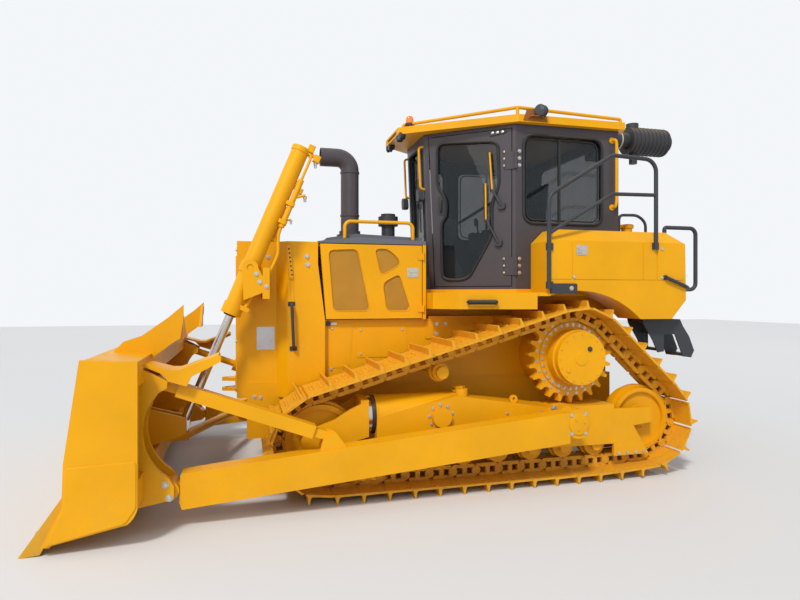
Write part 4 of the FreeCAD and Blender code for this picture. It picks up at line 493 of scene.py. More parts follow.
def tangent(first, second):
    """Ends of the outer straight between two circles that are passed clockwise."""
    gap = Vector((second[0] - first[0], second[1] - first[1]))
    turn = math.acos(max(-1.0, min(1.0, (first[2] - second[2]) / gap.length)))
    angle = math.atan2(gap.y, gap.x) + turn
    way = Vector((math.cos(angle), math.sin(angle)))
    return [Vector(ring[:2]) + way * ring[2] for ring in (first, second)]


def pin_line():
    """Even points along the loop of pins, with a small step between them."""
    rings = LOOP_CIRCLES
    straights = [tangent(rings[i], rings[(i + 1) % len(rings)]) for i in range(len(rings))]
    points = []
    for index, ring in enumerate(rings):
        centre = Vector(ring[:2])
        first, last = straights[index - 1][1] - centre, straights[index][0] - centre
        start, end = math.atan2(first.y, first.x), math.atan2(last.y, last.x)
        if end > start:
            end -= 2 * math.pi
        for step in range(33):
            angle = start + (end - start) * step / 32
            points.append(centre + Vector((math.cos(angle), math.sin(angle))) * ring[2])
    points.append(points[0])
    lengths = [(b - a).length for a, b in zip(points, points[1:])]
    count = round(sum(lengths) / PITCH)
    places, walked, index = [], 0.0, 0
    for number in range(count):
        goal = sum(lengths) * number / count
        while walked + lengths[index] < goal:
            walked += lengths[index]
            index += 1
        share = (goal - walked) / lengths[index]
        places.append(points[index].lerp(points[index + 1], share))
    return places


def link_side(piece, place, y, wide):
    """One side of a link: rail on top, foot below, a post between and an eye at each end."""
    half = PITCH / 2
    low, high = RAIL_LOW, RAIL_HIGH
    view = lambda a, b, c: place(a, b, y + c)
    shapes = (
        rectangle(-half * 1.02, low, half * 0.80, low + 0.030, 0.008),
        rectangle(-half * 0.72, high - 0.024, half * 0.98, high, 0.004),
        rectangle(-0.017, low + 0.01, 0.023, high - 0.01),
        rectangle(half * 0.66, low + 0.01, half * 0.98, high - 0.01),
    )
    # Each shape lies a little deeper than the one before, so no two faces share a plane
    for step, shape in enumerate(shapes):
        inset = 0.0012 * (step + 1)
        piece.slab(view, shape, inset, wide - inset, 0.002)
    for centre, radius, inset in ((-half, 0.036, -0.0010), (half, 0.034, 0.0004)):
        ring = lambda a, b, c, x=centre: place(x + a, b, y + c)
        piece.spin(ring, [(radius, inset), (radius, wide - inset), (0.0206 - inset, wide - inset),
                          (0.0206 - inset, inset)], 18, True)


def make_track(side_name, side):
    """Chain of links, pins and single-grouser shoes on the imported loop's own line."""
    chain = Piece("track_chain_" + side_name, "track", side=side)
    shoes = Piece("track_shoes_" + side_name, "shoe", side=side)
    bolts = Piece("track_bolts_" + side_name, "shoe", side=side)
    pins = pin_line()
    for index, start in enumerate(pins):
        end = pins[(index + 1) % len(pins)]
        ahead = (end - start).normalized()
        outward = Vector((-ahead.y, ahead.x))
        middle = (start + end) / 2

        def place(a, b, c, m=middle, u=ahead, n=outward):
            """a along the link, b out from the pin line, c along the pin from the track's middle."""
            spot = m + u * a + n * b
            return at(spot.x, TRACK_SIDE + c, spot.y)

        for y, wide in ((0.044, 0.034), (-0.078, 0.034)):
            link_side(chain, place, y, wide)
        pin = lambda a, b, c, p=place: p(-PITCH / 2 + a, b, c)
        chain.spin(pin, [(0.0190, -0.080), (0.0206, -0.078), (0.0206, 0.078), (0.0190, 0.080)], 18)
        chain.spin(pin, [(0.029, -0.042), (0.029, 0.042)], 14)
        low = RAIL_HIGH
        half = PITCH / 2
        plate = [(-half - 0.004, low - 0.004), (-half + 0.010, low), (half - 0.004, low),
                 (half + 0.004, low - 0.012), (half + 0.009, low - 0.004), (half + 0.003, low + SHOE_PLATE),
                 (-half + 0.052, low + SHOE_PLATE), (-half + 0.040, low + SHOE_PLATE + 0.010),
                 (-half + 0.036, low + SHOE_PLATE + GROUSER), (-half + 0.022, low + SHOE_PLATE + GROUSER),
                 (-half + 0.014, low + SHOE_PLATE), (-half, low + SHOE_PLATE - 0.003)]
        shoes.slab(place, plate, -SHOE_HALF, SHOE_HALF, 0.002)
        for a in (-0.022, 0.056):
            for c in (-0.085, -0.037, 0.037, 0.085):
                head = lambda x, z, h, a=a, c=c, p=place: p(a + x, low + SHOE_PLATE + h, c + z)
                bolts.spin(head, [(0.014, -0.001), (0.014, 0.009), (0.011, 0.012)], 6)
    chain = chain.done("track_steel")
    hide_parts("track_" + side_name)
    shoes.done("track_steel")
    bolts.done("track_steel")


for name, sign in SIDES:
    make_track(name, sign)


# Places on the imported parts

TREES = {}


def meet(node, start, way):
    """Where a line first meets a CAD node, counted from the sprocket, and its surface's direction."""
    if node not in TREES:
        mesh = nodes[node].data
        TREES[node] = BVHTree.FromPolygons([v.co for v in mesh.vertices], [p.vertices for p in mesh.polygons])
    spot, normal, _, _ = TREES[node].ray_cast(at(*start), Vector(way))
    if spot is None:
        raise ValueError("%s isn't met from %s" % (node, start))
    return (spot.x - SHIFT, spot.y, spot.z), normal


def side_bolts(piece, node, places, radius):
    """Bolts on a node's outer side, at (x, z) places."""
    for x, z in places:
        spot, _ = meet(node, (x, 3.0, z), (0, -1, 0))
        piece.bolt(spot, (0, 1, 0), radius)


CAB_CORNER, CAB_FRONT_HALF = (0.470, 0.860), 0.300
CAB_WALL_SIDE = 0.860


def cab_front(z):
    """Reach of the cab's front face, which leans forward a little."""
    return 1.085 + 0.060 * (z - 1.642) / 1.458


def facet_view(x, z, out):
    """A point on the slanted face that holds the cab door, moved out from it."""
    reach, drop = cab_front(z) - CAB_CORNER[0], CAB_CORNER[1] - CAB_FRONT_HALF
    y = CAB_CORNER[1] - drop * (x - CAB_CORNER[0]) / reach
    return at(x, y, z) + Vector((drop, reach, 0.0)).normalized() * out


# Drive, idlers and track frames

SPROCKET_HIGH = 1.049


def make_drive(name, side):
    bolts = Piece("drive_bolts_" + name, "zinc", side=side)
    out = (0, 1, 0)
    bolts.bolt_ring((0.0, 0.986, SPROCKET_HIGH), out, 0.281, 30, 0.0125)
    bolts.bolt_ring((0.0, 0.974, SPROCKET_HIGH), out, 0.326, 23, 0.0105, 0.07)
    bolts.done("edge_steel")
    trim = Piece("drive_trim_" + name, "yellow", side=side)
    face = (0.0, 1.160, SPROCKET_HIGH)
    trim.bolt_ring(face, out, 0.205, 16, 0.007)
    trim.bolt_ring(face, out, 0.048, 6, 0.006)
    centre = turned((0.0, 1.159, SPROCKET_HIGH), out)
    trim.spin(centre, [(0.062, 0.0), (0.060, 0.006), (0.036, 0.008)], 28)
    cover = turned((0.0, 1.100, SPROCKET_HIGH), out)
    trim.spin(cover, [(0.239, -0.014), (0.243, -0.010), (0.243, -0.002), (0.236, 0.001)], 48)
    trim.spin(turned((0.128, 1.159, SPROCKET_HIGH - 0.10), out), [(0.019, 0.0), (0.019, 0.008), (0.012, 0.010)], 6)
    trim.done("yellow")
    plug = Piece("drive_plug_" + name, "dark", side=side)
    plug.spin(turned((-0.075, 1.159, SPROCKET_HIGH + 0.078), out), [(0.022, 0.0), (0.022, 0.010), (0.015, 0.012)], 8)
    plug.done("black_paint")


def make_frame_trim(name, side):
    """Bolts, chrome ring, rubber seal and yellow caps and rings of one track frame."""
    node = "track_frame_left"
    out = (0, 1, 0)
    bolts = Piece("frame_bolts_" + name, "zinc", side=side)
    bolts.bolt_ring((1.241, 1.100, 0.603), out, 0.098, 9, 0.0115)
    side_bolts(bolts, node, ((-0.40, 0.200), (-0.485, 0.200), (-0.57, 0.202), (-0.65, 0.204)), 0.013)
    side_bolts(bolts, node, ((0.05, 0.60), (0.35, 0.60), (0.66, 0.60)), 0.010)
    side_bolts(bolts, node, ((0.262, 0.640),), 0.019)
    bolts.done("edge_steel")
    steel = Piece("recoil_ring_" + name, "chrome", side=side)
    ahead = (1, 0, 0)
    steel.spin(turned((1.802, TRACK_SIDE, 0.622), ahead), [(0.147, 0.0), (0.149, 0.002), (0.149, 0.030), (0.147, 0.032)], 48)
    steel.done("chrome_rod")
    seal = Piece("recoil_seal_" + name, "rubber", side=side)
    seal.spin(turned((1.772, TRACK_SIDE, 0.622), ahead), [(0.153, 0.0), (0.155, 0.004), (0.151, 0.024), (0.148, 0.030)], 48)
    seal.done("black_plastic")
    trim = Piece("frame_trim_" + name, "yellow", side=side)
    trim.spin(turned((1.030, TRACK_SIDE, 0.808), (0, 0, 1)), [(0.054, 0.0), (0.054, 0.014), (0.047, 0.019)], 6)
    trim.spin(turned((1.030, TRACK_SIDE, 0.780), (0, 0, 1)), [(0.066, 0.0), (0.063, 0.016)], 32)
    trim.spin(turned((1.755, TRACK_SIDE, 0.622), ahead), [(0.157, 0.0), (0.162, 0.003), (0.162, 0.014), (0.157, 0.016)], 48)
    for number in range(7):
        place = turned((-0.203 + 0.3048 * number, TRACK_SIDE + 0.118, 0.280), out)
        trim.spin(place, [(0.050, 0.0), (0.050, 0.014), (0.030, 0.018)], 24)
    carrier = turned((1.218, 1.075, 0.953), out)
    trim.spin(carrier, [(0.052, 0.0), (0.050, 0.010), (0.030, 0.013)], 28)
    trim.bolt_ring((1.218, 1.083, 0.953), out, 0.040, 5, 0.007)
    trim.done("yellow")


def make_rear_idler(name, side):
    """Raised rings and hub of the rear idler's face."""
    for label, x, z in (("rear", -0.670, 0.480), ("front", 2.205, 0.455)):
        trim = Piece("%s_idler_rings_%s" % (label, name), "yellow", side=side)
        place = turned((x, TRACK_SIDE + 0.080, z), (0, 1, 0))
        trim.spin(place, [(0.250, 0.0), (0.250, 0.008), (0.242, 0.008), (0.242, 0.0)], 56, True)
        trim.spin(place, [(0.120, -0.040), (0.112, -0.020), (0.090, -0.020), (0.090, -0.045)], 36, True)
        trim.bolt_ring((x, TRACK_SIDE + 0.119, z), (0, 1, 0), 0.042, 6, 0.007)
        trim.done("yellow")


for name, sign in SIDES:
    make_drive(name, sign)
    make_frame_trim(name, sign)
    make_rear_idler(name, sign)


# Cab

DOOR_GLASS = [
    # x, z of the window in the cab door
    (0.990, 1.729), (1.006, 2.262), (0.966, 2.318), (0.966, 2.480), (1.038, 2.600), (1.040, 3.003),
    (0.590, 2.958), (0.582, 2.560), (0.632, 2.420), (0.632, 2.120), (0.800, 1.729),
]
SIDE_GLASS = (-0.385, 2.225, 0.395, 3.010)
HINGE_BOLT_HEIGHTS = (2.858, 2.796, 2.734, 1.910, 1.848, 1.786)


def make_cab_door_trim(name, side):
    body = "cab_door_" + name
    rubber = Piece("door_gasket_" + name, "rubber", body, side)
    line = [facet_view(x, z, 0.003) for x, z in softened(DOOR_GLASS, 0.07, 6)]
    rubber.rod(line, 0.013, closed=True, sides=8)
    rubber.done("black_plastic")
    handle = Piece("door_handle_" + name, "plastic", body, side)
    handle.slab(facet_view, rectangle(0.975, 2.330, 1.030, 2.510, 0.026), -0.002, 0.006, 0.002)
    grip = [facet_view(1.002, z, out) for z, out in ((2.36, 0.004), (2.37, 0.024), (2.47, 0.024), (2.48, 0.004))]
    handle.rod(grip, 0.009, 0.02, sides=8)
    handle.done("black_plastic")
    bolts = Piece("door_hinge_bolts_" + name, "zinc", body, side)
    for z in HINGE_BOLT_HEIGHTS:
        start = facet_view(0.549, z, 0.25)
        spot, normal = meet("cab_door_left", (start.x - SHIFT, start.y, start.z), facet_view(0.549, z, 0) - start)
        bolts.bolt(spot, normal, 0.0125)
    bolts.done("edge_steel")
    stay = Piece("door_stay_" + name, "dark", body, side)
    stay.slab(facet_view, softened([(0.640, 3.042), (0.530, 3.056), (0.530, 3.030), (0.655, 3.010)], 0.012), 0.0, 0.010, 0.003)
    stay.done("black_paint")
    stay = Piece("door_stay_bolts_" + name, "zinc", body, side)
    for x in (0.560, 0.595, 0.630):
        head = lambda a, b, c, x=x: facet_view(x + a, 3.036 + b, 0.010 + c)
        stay.spin(head, [(0.012, 0.0), (0.012, 0.005), (0.007, 0.008)], 6)
    stay.done("edge_steel")
    fixed = Piece("pillar_hinge_bolts_" + name, "zinc", "chassis", side)
    side_bolts(fixed, "cab_shell", [(0.435, z) for z in HINGE_BOLT_HEIGHTS], 0.0125)
    fixed.done("edge_steel")
    plates = Piece("pillar_hinge_plates_" + name, "grey", "chassis", side)
    for z0 in (1.762, 2.710):
        plates.slab(side_view(CAB_WALL_SIDE - 0.001), rectangle(0.412, z0, 0.459, z0 + 0.172, 0.008), 0.0, 0.0015, 0.0005)
    plates.done("cab_grey")
    for number, pivot, turn, tip in ((1, (0.564, 2.381), (0.627, 2.530), (0.648, 2.864)),
                                     (2, (0.585, 2.053), (0.669, 2.265), (0.676, 2.589))):
        arm = Piece("door_wiper_arm_%d_%s" % (number, name), "plastic", body, side)
        arm.slab(facet_view, rectangle(pivot[0] - 0.026, pivot[1] - 0.03, pivot[0] + 0.026, pivot[1] + 0.03, 0.02), 0.0, 0.026, 0.004)
        arm.rod([facet_view(*pivot, 0.024), facet_view(*turn, 0.030)], 0.010, sides=8)
        arm.rod([facet_view(turn[0] + 0.013, turn[1] - 0.02, 0.008), facet_view(tip[0] + 0.013, tip[1], 0.008)], 0.006, sides=6)
        arm.done("black_plastic")
        blade = Piece("door_wiper_blade_%d_%s" % (number, name), "yellow", body, side)
        blade.rod([facet_view(*turn, 0.030), facet_view(*tip, 0.018)], 0.0085, sides=8)
        blade.done("yellow")


def make_cab_side_trim(name, side):
    rubber = Piece("side_gasket_" + name, "rubber", side=side)
    corners = rectangle(*SIDE_GLASS)
    rubber.rod([at(x, CAB_WALL_SIDE + 0.003, z) for x, z in softened(corners, 0.10, 7)], 0.013, closed=True, sides=8)
    rubber.slab(side_view(0.830), rectangle(0.026, 2.235, 0.048, 3.0), 0.0, 0.020, 0.002)
    inner = [(-0.352, 2.258), (0.362, 2.258), (0.362, 2.977), (-0.352, 2.977)]
    rubber.rod([at(x, 0.842, z) for x, z in softened(inner, 0.08, 5)], 0.007, closed=True, sides=6)
    rubber.done("black_plastic")
    seal = Piece("door_edge_seal_" + name, "rubber", side=side)
    seal.rod([facet_view(cab_front(z) - 0.041, z, -0.060) for z in (1.72, 2.38, 3.04)], 0.012, sides=8)
    seal.done("black_plastic")
    bar = Piece("cab_grab_bar_" + name, "yellow", side=side)
    foot = [(-0.470, 0.852), (-0.470, 0.905)]
    points = [at(-0.490, 0.850, 3.010), at(-0.500, 0.905, 3.010), at(-0.510, 0.905, 2.970), at(-0.510, 0.905, 2.44),
              at(-0.500, 0.905, 2.395), at(-0.490, 0.850, 2.395)]
    bar.rod(points, 0.014, 0.03)
    for z in (3.010, 2.395):
        bar.spin(turned((-0.490, 0.858, z), (0, 1, 0)), [(0.028, 0.0), (0.028, 0.008)], 16)
    bar.done("yellow")


def lamp(name, centre, way, radius, body="chassis"):
    """Round work lamp: ribbed housing and lens."""
    housing = Piece(name + "_housing", "plastic", body)
    place = turned(centre, way)
    housing.spin(place, [(radius * 0.45, -radius * 1.5), (radius * 0.8, -radius * 1.3), (radius * 0.85, -radius * 0.5),
                         (radius, -radius * 0.4), (radius * 1.04, 0.0), (radius * 0.9, 0.004)], 24)
    for step in range(3):
        back = -radius * (0.6 + 0.25 * step)
        housing.spin(place, [(radius * 0.98, back), (radius * 0.98, back - radius * 0.08)], 24)
    housing.done("black_plastic")
    lens = Piece(name + "_lens", "lens", body)
    lens.spin(place, [(radius * 0.88, 0.002), (radius * 0.86, 0.008), (radius * 0.5, 0.013), (radius * 0.15, 0.015)], 24)
    lens.done("tinted_glass")


def make_roof_trim():
    lamp("left_roof_lamp", (0.300, 0.985, 3.190), (0.75, 0.62, -0.15), 0.052)
    lamp("right_roof_lamp", (0.300, -0.985, 3.190), (0.75, -0.62, -0.15), 0.052)
    # The brackets take the dark brown painted shade, not the yellow paint.
    brackets = Piece("roof_lamp_brackets", "roof_bracket_shaded_yellow", "chassis")
    for s in (1, -1):
        outline = [(0.20, 3.110), (0.43, 3.115), (0.40, 3.205), (0.30, 3.222), (0.22, 3.190)]
        brackets.slab(side_view(s * 0.930), outline, -0.004, 0.004, 0.001)
        brackets.slab(top_view(3.140), [(0.22, s * 0.925), (0.40, s * 0.925), (0.36, s * 0.975), (0.26, s * 0.975)], 0.0, 0.010, 0.002)
        for x in (0.25, 0.38):
            brackets.bolt((x, s * 0.934, 3.135), (0, s, 0), 0.009)
    brackets.done("yellow")
    for s, label in ((1, "left"), (-1, "right")):
        for number, y in ((1, 0.075), (2, 0.165)):
            lamp("%s_front_lamp_%d" % (label, number), (1.368, s * (y + 0.09), 3.085), (1, 0.12 * s, -0.1), 0.036)
    beacon = Piece("beacon_base", "plastic", "chassis")
    beacon.spin(turned((1.270, 0.250, 3.188), (0, 0, 1)), [(0.045, 0.0), (0.045, 0.018), (0.038, 0.024)], 24)
    beacon.done("black_plastic")
    dome = Piece("beacon_dome", "amber", "chassis")
    dome.spin(turned((1.270, 0.250, 3.212), (0, 0, 1)), [(0.036, 0.0), (0.037, 0.03), (0.034, 0.052), (0.024, 0.064), (0.008, 0.068)], 24)
    dome.done("tinted_glass")


def make_windshield_trim():
    rubber = Piece("windshield_gasket", "rubber", "chassis")
    corners = [(-0.215, 1.85), (0.215, 1.85), (0.215, 3.0), (-0.215, 3.0)]
    line = [at(cab_front(z) + 0.003, y, z) for y, z in softened(corners, 0.07, 6)]
    rubber.rod(line, 0.012, closed=True, sides=8)
    rubber.done("black_plastic")
    wiper = Piece("windshield_wiper", "plastic", "chassis")
    reach = lambda y, z, out: at(cab_front(z) + out, y, z)
    wiper.slab(lambda a, b, c: reach(a, b, c), rectangle(-0.04, 1.765, 0.04, 1.825, 0.02), 0.0, 0.030, 0.004)
    wiper.rod([reach(0.0, 1.80, 0.028), reach(0.06, 2.10, 0.034), reach(0.10, 2.45, 0.026)], 0.008, 0.1, sides=8)
    wiper.rod([reach(0.115, 2.20, 0.010), reach(0.095, 2.72, 0.010)], 0.006, sides=6)
    wiper.done("black_plastic")
    for s, label in ((1, "left"), (-1, "right")):
        bar = Piece("front_grab_bar_" + label, "yellow", "chassis")
        bar.rod([reach(s * 0.262, 2.995, -0.002), reach(s * 0.262, 2.985, 0.045), reach(s * 0.262, 2.60, 0.045),
                 reach(s * 0.262, 2.590, -0.002)], 0.011, 0.03)
        bar.done("yellow")
        mirror = Piece("mirror_" + label, "plastic", "chassis")
        view = lambda a, b, c: at(cab_front(b) + 0.060 + c, a, b)
        mirror.slab(view, rectangle(s * 0.225, 2.475, s * 0.320, 2.585, 0.02), -0.030, 0.020, 0.008)
        mirror.rod([reach(s * 0.262, 2.60, 0.040), reach(s * 0.262, 2.56, 0.050)], 0.008)
        mirror.done("black_plastic")
        glass_face = Piece("mirror_face_" + label, "chrome", "chassis")
        glass_face.slab(view, rectangle(s * 0.233, 2.484, s * 0.312, 2.576, 0.015), -0.0335, -0.029, 0.001)
        glass_face.done("tinted_glass")


for name, sign in SIDES:
    make_cab_door_trim(name, sign)
    make_cab_side_trim(name, sign)
make_roof_trim()
make_windshield_trim()


# Lift cylinders

TRUNNION, CYLINDER_SIDE = (2.738, 1.804), 0.750
CYLINDER_AXIS = Vector((0.38328, 0.0, -0.92363))
CYLINDER_BACK = Vector((-0.92363, 0.0, -0.38328))


def barrel_view(back, out, along):
    """Back of the barrel's axis, out to the left of it, and down along it from the trunnion."""
    return at(TRUNNION[0], CYLINDER_SIDE + out, TRUNNION[1]) + CYLINDER_BACK * back + CYLINDER_AXIS * along


def make_cylinder_trim(name, side):
    body = "lift_barrel_" + name
    trim = Piece("cylinder_pipes_" + name, "yellow", body, side)
    around = lambda a, b, c: barrel_view(a, b, c)
    for low, high, radius in ((-1.074, -1.030, 0.076), (0.360, 0.400, 0.077), (-0.03, 0.03, 0.082)):
        trim.spin(around, [(radius - 0.004, low), (radius, low + 0.004), (radius, high - 0.004), (radius - 0.004, high)], 32)
    trim.rod([barrel_view(0.060, 0.028, -1.050), barrel_view(0.098, 0.034, -1.040), barrel_view(0.100, 0.034, -0.96),
              barrel_view(0.098, 0.034, -0.80)], 0.012, 0.03)
    trim.rod([barrel_view(0.098, 0.034, -0.82), barrel_view(0.098, 0.034, -0.40)], 0.024, sides=14)
    trim.rod([barrel_view(0.098, 0.034, -0.42), barrel_view(0.098, 0.034, -0.34), barrel_view(0.160, 0.040, -0.186),
              barrel_view(0.152, 0.040, 0.074), barrel_view(0.100, 0.036, 0.184), barrel_view(0.098, 0.034, 0.30),
              barrel_view(0.050, 0.020, 0.318)], 0.013, 0.04)
    for along in (-0.62, -0.46):
        trim.slab(lambda a, b, c, z=along: barrel_view(a, b, z + c), rectangle(0.055, -0.004, 0.128, 0.064, 0.02), 0.0, 0.034, 0.004)
    for back, along, tall in ((0.075, -1.091, 0.030), (0.147, -1.034, 0.028)):
        view = lambda a, b, c, u=back, z=along: barrel_view(u + a, b, z + c)
        trim.slab(view, rectangle(-0.028, -0.006, 0.028, 0.050, 0.008), -tall, tall, 0.004)
    trim.rod([barrel_view(0.06, 0.022, -1.060), barrel_view(0.147, 0.022, -1.034)], 0.014)
    trim.slab(lambda a, b, c: barrel_view(a, b, 0.318 + c), rectangle(0.040, -0.022, 0.130, 0.062, 0.012), -0.018, 0.018, 0.004)
    trim.rod([barrel_view(0.098, 0.034, -0.66), barrel_view(0.150, 0.034, -0.70), barrel_view(0.176, 0.034, -0.72)], 0.011, 0.03)
    trim.done("yellow")
    steel = Piece("cylinder_fittings_" + name, "zinc", body, side)
    for back, along in ((0.075, -1.060), (0.147, -1.004), (0.176, -0.712)):
        view = lambda a, b, c, u=back, z=along: barrel_view(u, 0.022, z) + Vector((a, b, -c))
        steel.spin(view, [(0.015, 0.0), (0.015, 0.020), (0.011, 0.022), (0.011, 0.046)], 6)
    for y in (-0.004, 0.045):
        spot = barrel_view(0.130, y, 0.318)
        steel.bolt((spot.x - SHIFT, spot.y, spot.z), CYLINDER_BACK, 0.008)
    steel.done("edge_steel")
    caps = Piece("trunnion_cap_bolts_" + name, "zinc", "chassis", side)
    side_bolts(caps, "cylinder_yokes", ((2.690, 1.752), (2.665, 1.690), (2.612, 1.655)), 0.014)
    caps.done("edge_steel")
    wiper = Piece("rod_wiper_" + name, "rubber", body, side)
    wiper.spin(around, [(0.052, 0.398), (0.054, 0.404), (0.046, 0.412), (0.0345, 0.413)], 28)
    wiper.done("black_plastic")


# Nose, hood and engine doors

NOSE_SIDE, DOOR_FACE, LOWER_SIDE = 0.620, 0.620, 0.560
DOOR_SHEETS = (
    [(2.050, 1.452), (2.092, 1.975), (1.838, 1.988), (1.727, 1.452)],
    [(1.690, 1.995), (1.568, 1.995), (1.465, 1.905), (1.465, 1.850), (1.634, 1.758)],
    [(1.617, 1.698), (1.465, 1.780), (1.358, 1.452), (1.584, 1.452)],
)


def plain_latch(name, x, z, y, body, side):
    """Square paddle latch, its paddle set in a dished plate."""
    steel = Piece("%s_plate" % name, "zinc", body, side)
    view = side_view(y)
    steel.slab(view, rectangle(x - 0.052, z - 0.042, x + 0.052, z + 0.042, 0.012), -0.001, 0.004, 0.0015)
    steel.slab(view, rectangle(x - 0.036, z + 0.002, x + 0.036, z + 0.030, 0.006), 0.004, 0.010, 0.002)
    steel.slab(view, rectangle(x - 0.030, z - 0.030, x + 0.010, z - 0.006, 0.004), 0.004, 0.008, 0.002)
    steel.spin(turned((x + 0.026, y + 0.003, z - 0.018), (0, 1, 0)), [(0.009, 0.0), (0.009, 0.005), (0.006, 0.006)], 16)
    steel.done("edge_steel")


def make_engine_door_trim(name, side):
    body = "engine_door_" + name
    sheet = Piece("door_sheets_" + name, "perforated", body, side)
    for outline in DOOR_SHEETS:
        sheet.slab(side_view(0.6102), softened(outline, 0.045, 4), 0.0, 0.0012)
    sheet.done("yellow")
    plain_latch("engine_door_latch_" + name, 1.343, 1.786, DOOR_FACE, body, side)
    edge = Piece("door_edge_" + name, "yellow", body, side)
    for outline in DOOR_SHEETS:
        rim = softened(outline, 0.05, 4)
        edge.rod([side_view(DOOR_FACE)(x, z, 0.0005) for x, z in rim], 0.004, closed=True, sides=6)
    edge.done("yellow")


def make_nose_side(name, side):
    trim = Piece("nose_trim_" + name, "yellow", side=side)
    trim.slab(side_view(LOWER_SIDE), rectangle(1.385, 1.045, 1.840, 1.312, 0.02), -0.001, 0.005, 0.002)
    trim.slab(side_view(LOWER_SIDE), softened([(1.90, 0.96), (2.085, 0.96), (2.085, 1.34), (1.87, 1.34)], 0.03), -0.001, 0.004, 0.0015)
    trim.slab(side_view(LOWER_SIDE), rectangle(1.135, 1.20, 1.215, 1.36, 0.01), -0.001, 0.010, 0.003)
    bar = [(2.405, 2.010), (2.440, 2.010), (2.420, 1.725), (2.385, 1.725)]
    trim.slab(side_view(NOSE_SIDE), bar, -0.001, 0.016, 0.002)
    trim.slab(side_view(NOSE_SIDE), [(2.388, 1.700), (2.412, 1.700), (2.388, 1.400), (2.364, 1.400)], -0.001, 0.006, 0.002)
    trim.slab(side_view(NOSE_SIDE), rectangle(2.205, 0.760, 2.415, 0.775), -0.001, 0.004, 0.001)
    trim.done("yellow")
    # Painted shade: thin black discs on the slotted bar stand in for its holes, where only shade shows.
    holes = Piece("nose_bar_hole_shade_" + name, "plastic", side=side)
    for step in range(7):
        z = 1.975 - 0.036 * step
        x = 2.4225 - 0.0045 * step
        holes.spin(turned((x, NOSE_SIDE + 0.0155, z), (0, 1, 0)), [(0.008, 0.0), (0.008, 0.001)], 12)
    holes.done("black_plastic")
    bolts = Piece("nose_bolts_" + name, "zinc", side=side)
    side_bolts(bolts, "radiator_guard", ((2.271, 1.915), (2.265, 1.844)), 0.016)
    side_bolts(bolts, "radiator_guard", ((2.590, 1.910),), 0.014)
    side_bolts(bolts, "main_frame", ((1.800, 1.283), (1.800, 1.075), (1.425, 1.283), (1.425, 1.075),
                                     (2.059, 0.951), (2.05, 1.30), (2.700, 0.735), (2.650, 0.725)), 0.012)
    side_bolts(bolts, "rear_housing", ((1.105, 1.330), (1.105, 1.240), (1.02, 1.330)), 0.014)
    bolts.done("edge_steel")
    bar = Piece("nose_hand_bar_" + name, "dark", side=side)
    foot = side_view(NOSE_SIDE)
    bar.rod([foot(2.400, 1.515, 0.0), foot(2.400, 1.505, 0.055), foot(2.385, 1.150, 0.055), foot(2.385, 1.140, 0.0)], 0.013, 0.03)
    for z, x in ((1.515, 2.400), (1.140, 2.385)):
        bar.slab(foot, rectangle(x - 0.030, z - 0.018, x + 0.030, z + 0.018, 0.006), -0.001, 0.008, 0.002)
    bar.done("black_paint")
    latch = Piece("skirt_latch_" + name, "zinc", side=side)
    latch.slab(side_view(LOWER_SIDE), rectangle(2.010, 1.332, 2.062, 1.352, 0.004), 0.0, 0.014, 0.002)
    latch.done("edge_steel")
    hook = Piece("skirt_catch_" + name, "plastic", side=side)
    hook.slab(side_view(LOWER_SIDE), rectangle(2.068, 1.322, 2.100, 1.362, 0.006), 0.0, 0.022, 0.003)
    hook.done("black_plastic")
    if side > 0:
        plate = Piece("nose_plate_blank", "plate")
        plate.slab(side_view(0.530), rectangle(2.534, 1.128, 2.682, 1.320, 0.008), -0.001, 0.002, 0.0008)
        plate.done("edge_steel")


def make_nose_front():
    """Frame and bolts round the slotted grille."""
    trim = Piece("grille_frame", "yellow")
    view = front_view(2.843)
    for y0, z0, y1, z1 in ((-0.440, 0.838, 0.440, 0.858), (-0.440, 1.902, 0.440, 1.922),
                           (-0.442, 0.838, -0.422, 1.922), (0.422, 0.838, 0.442, 1.922)):
        trim.slab(view, rectangle(y0, z0, y1, z1), -0.004, 0.010, 0.003)
    trim.done("yellow")
    bolts = Piece("nose_front_bolts", "zinc")
    for z in (0.80, 1.20, 1.60, 1.97):
        for y in (-0.485, 0.485):
            bolts.bolt((2.8435, y, z), (1, 0, 0), 0.012)
    bolts.done("edge_steel")


def make_hood_trim():
    top = Piece("hood_hinges", "dark")
    for x in (1.34, 1.92):
        for s in (1, -1):
            spot, normal = meet("hood", (x, s * 0.545, 3.0), (0, 0, -1))
            top.spin(turned(spot, normal), [(0.030, -0.002), (0.030, 0.008), (0.022, 0.010)], 20)
    top.done("black_paint")
    base = Piece("exhaust_base", "grey")
    foot, _ = meet("hood", (1.70, 0.300, 3.0), (0, 0, -1))
    base.spin(turned((1.851, 0.300, foot[2] - 0.01), (0, 0, 1)), [(0.120, 0.0), (0.118, 0.022), (0.088, 0.030)], 36)
    for z in (2.300, 2.690):
        base.spin(turned((1.851, 0.300, z), (0, 0, 1)), [(0.0825, 0.0), (0.088, 0.003), (0.088, 0.019), (0.0825, 0.022)], 36)
    base.done("cab_grey")
    clamp = Piece("precleaner_rings", "zinc")
    clamp.spin(turned((1.480, 0.250, 2.165), (0, 0, 1)), [(0.058, 0.0), (0.060, 0.002), (0.060, 0.016), (0.058, 0.018)], 32)
    clamp.done("edge_steel")


for name, sign in SIDES:
    make_cylinder_trim(name, sign)
    make_engine_door_trim(name, sign)
    make_nose_side(name, sign)
make_nose_front()
make_hood_trim()


# Fender boxes, tank and air unit

FENDER_SIDE = 1.200


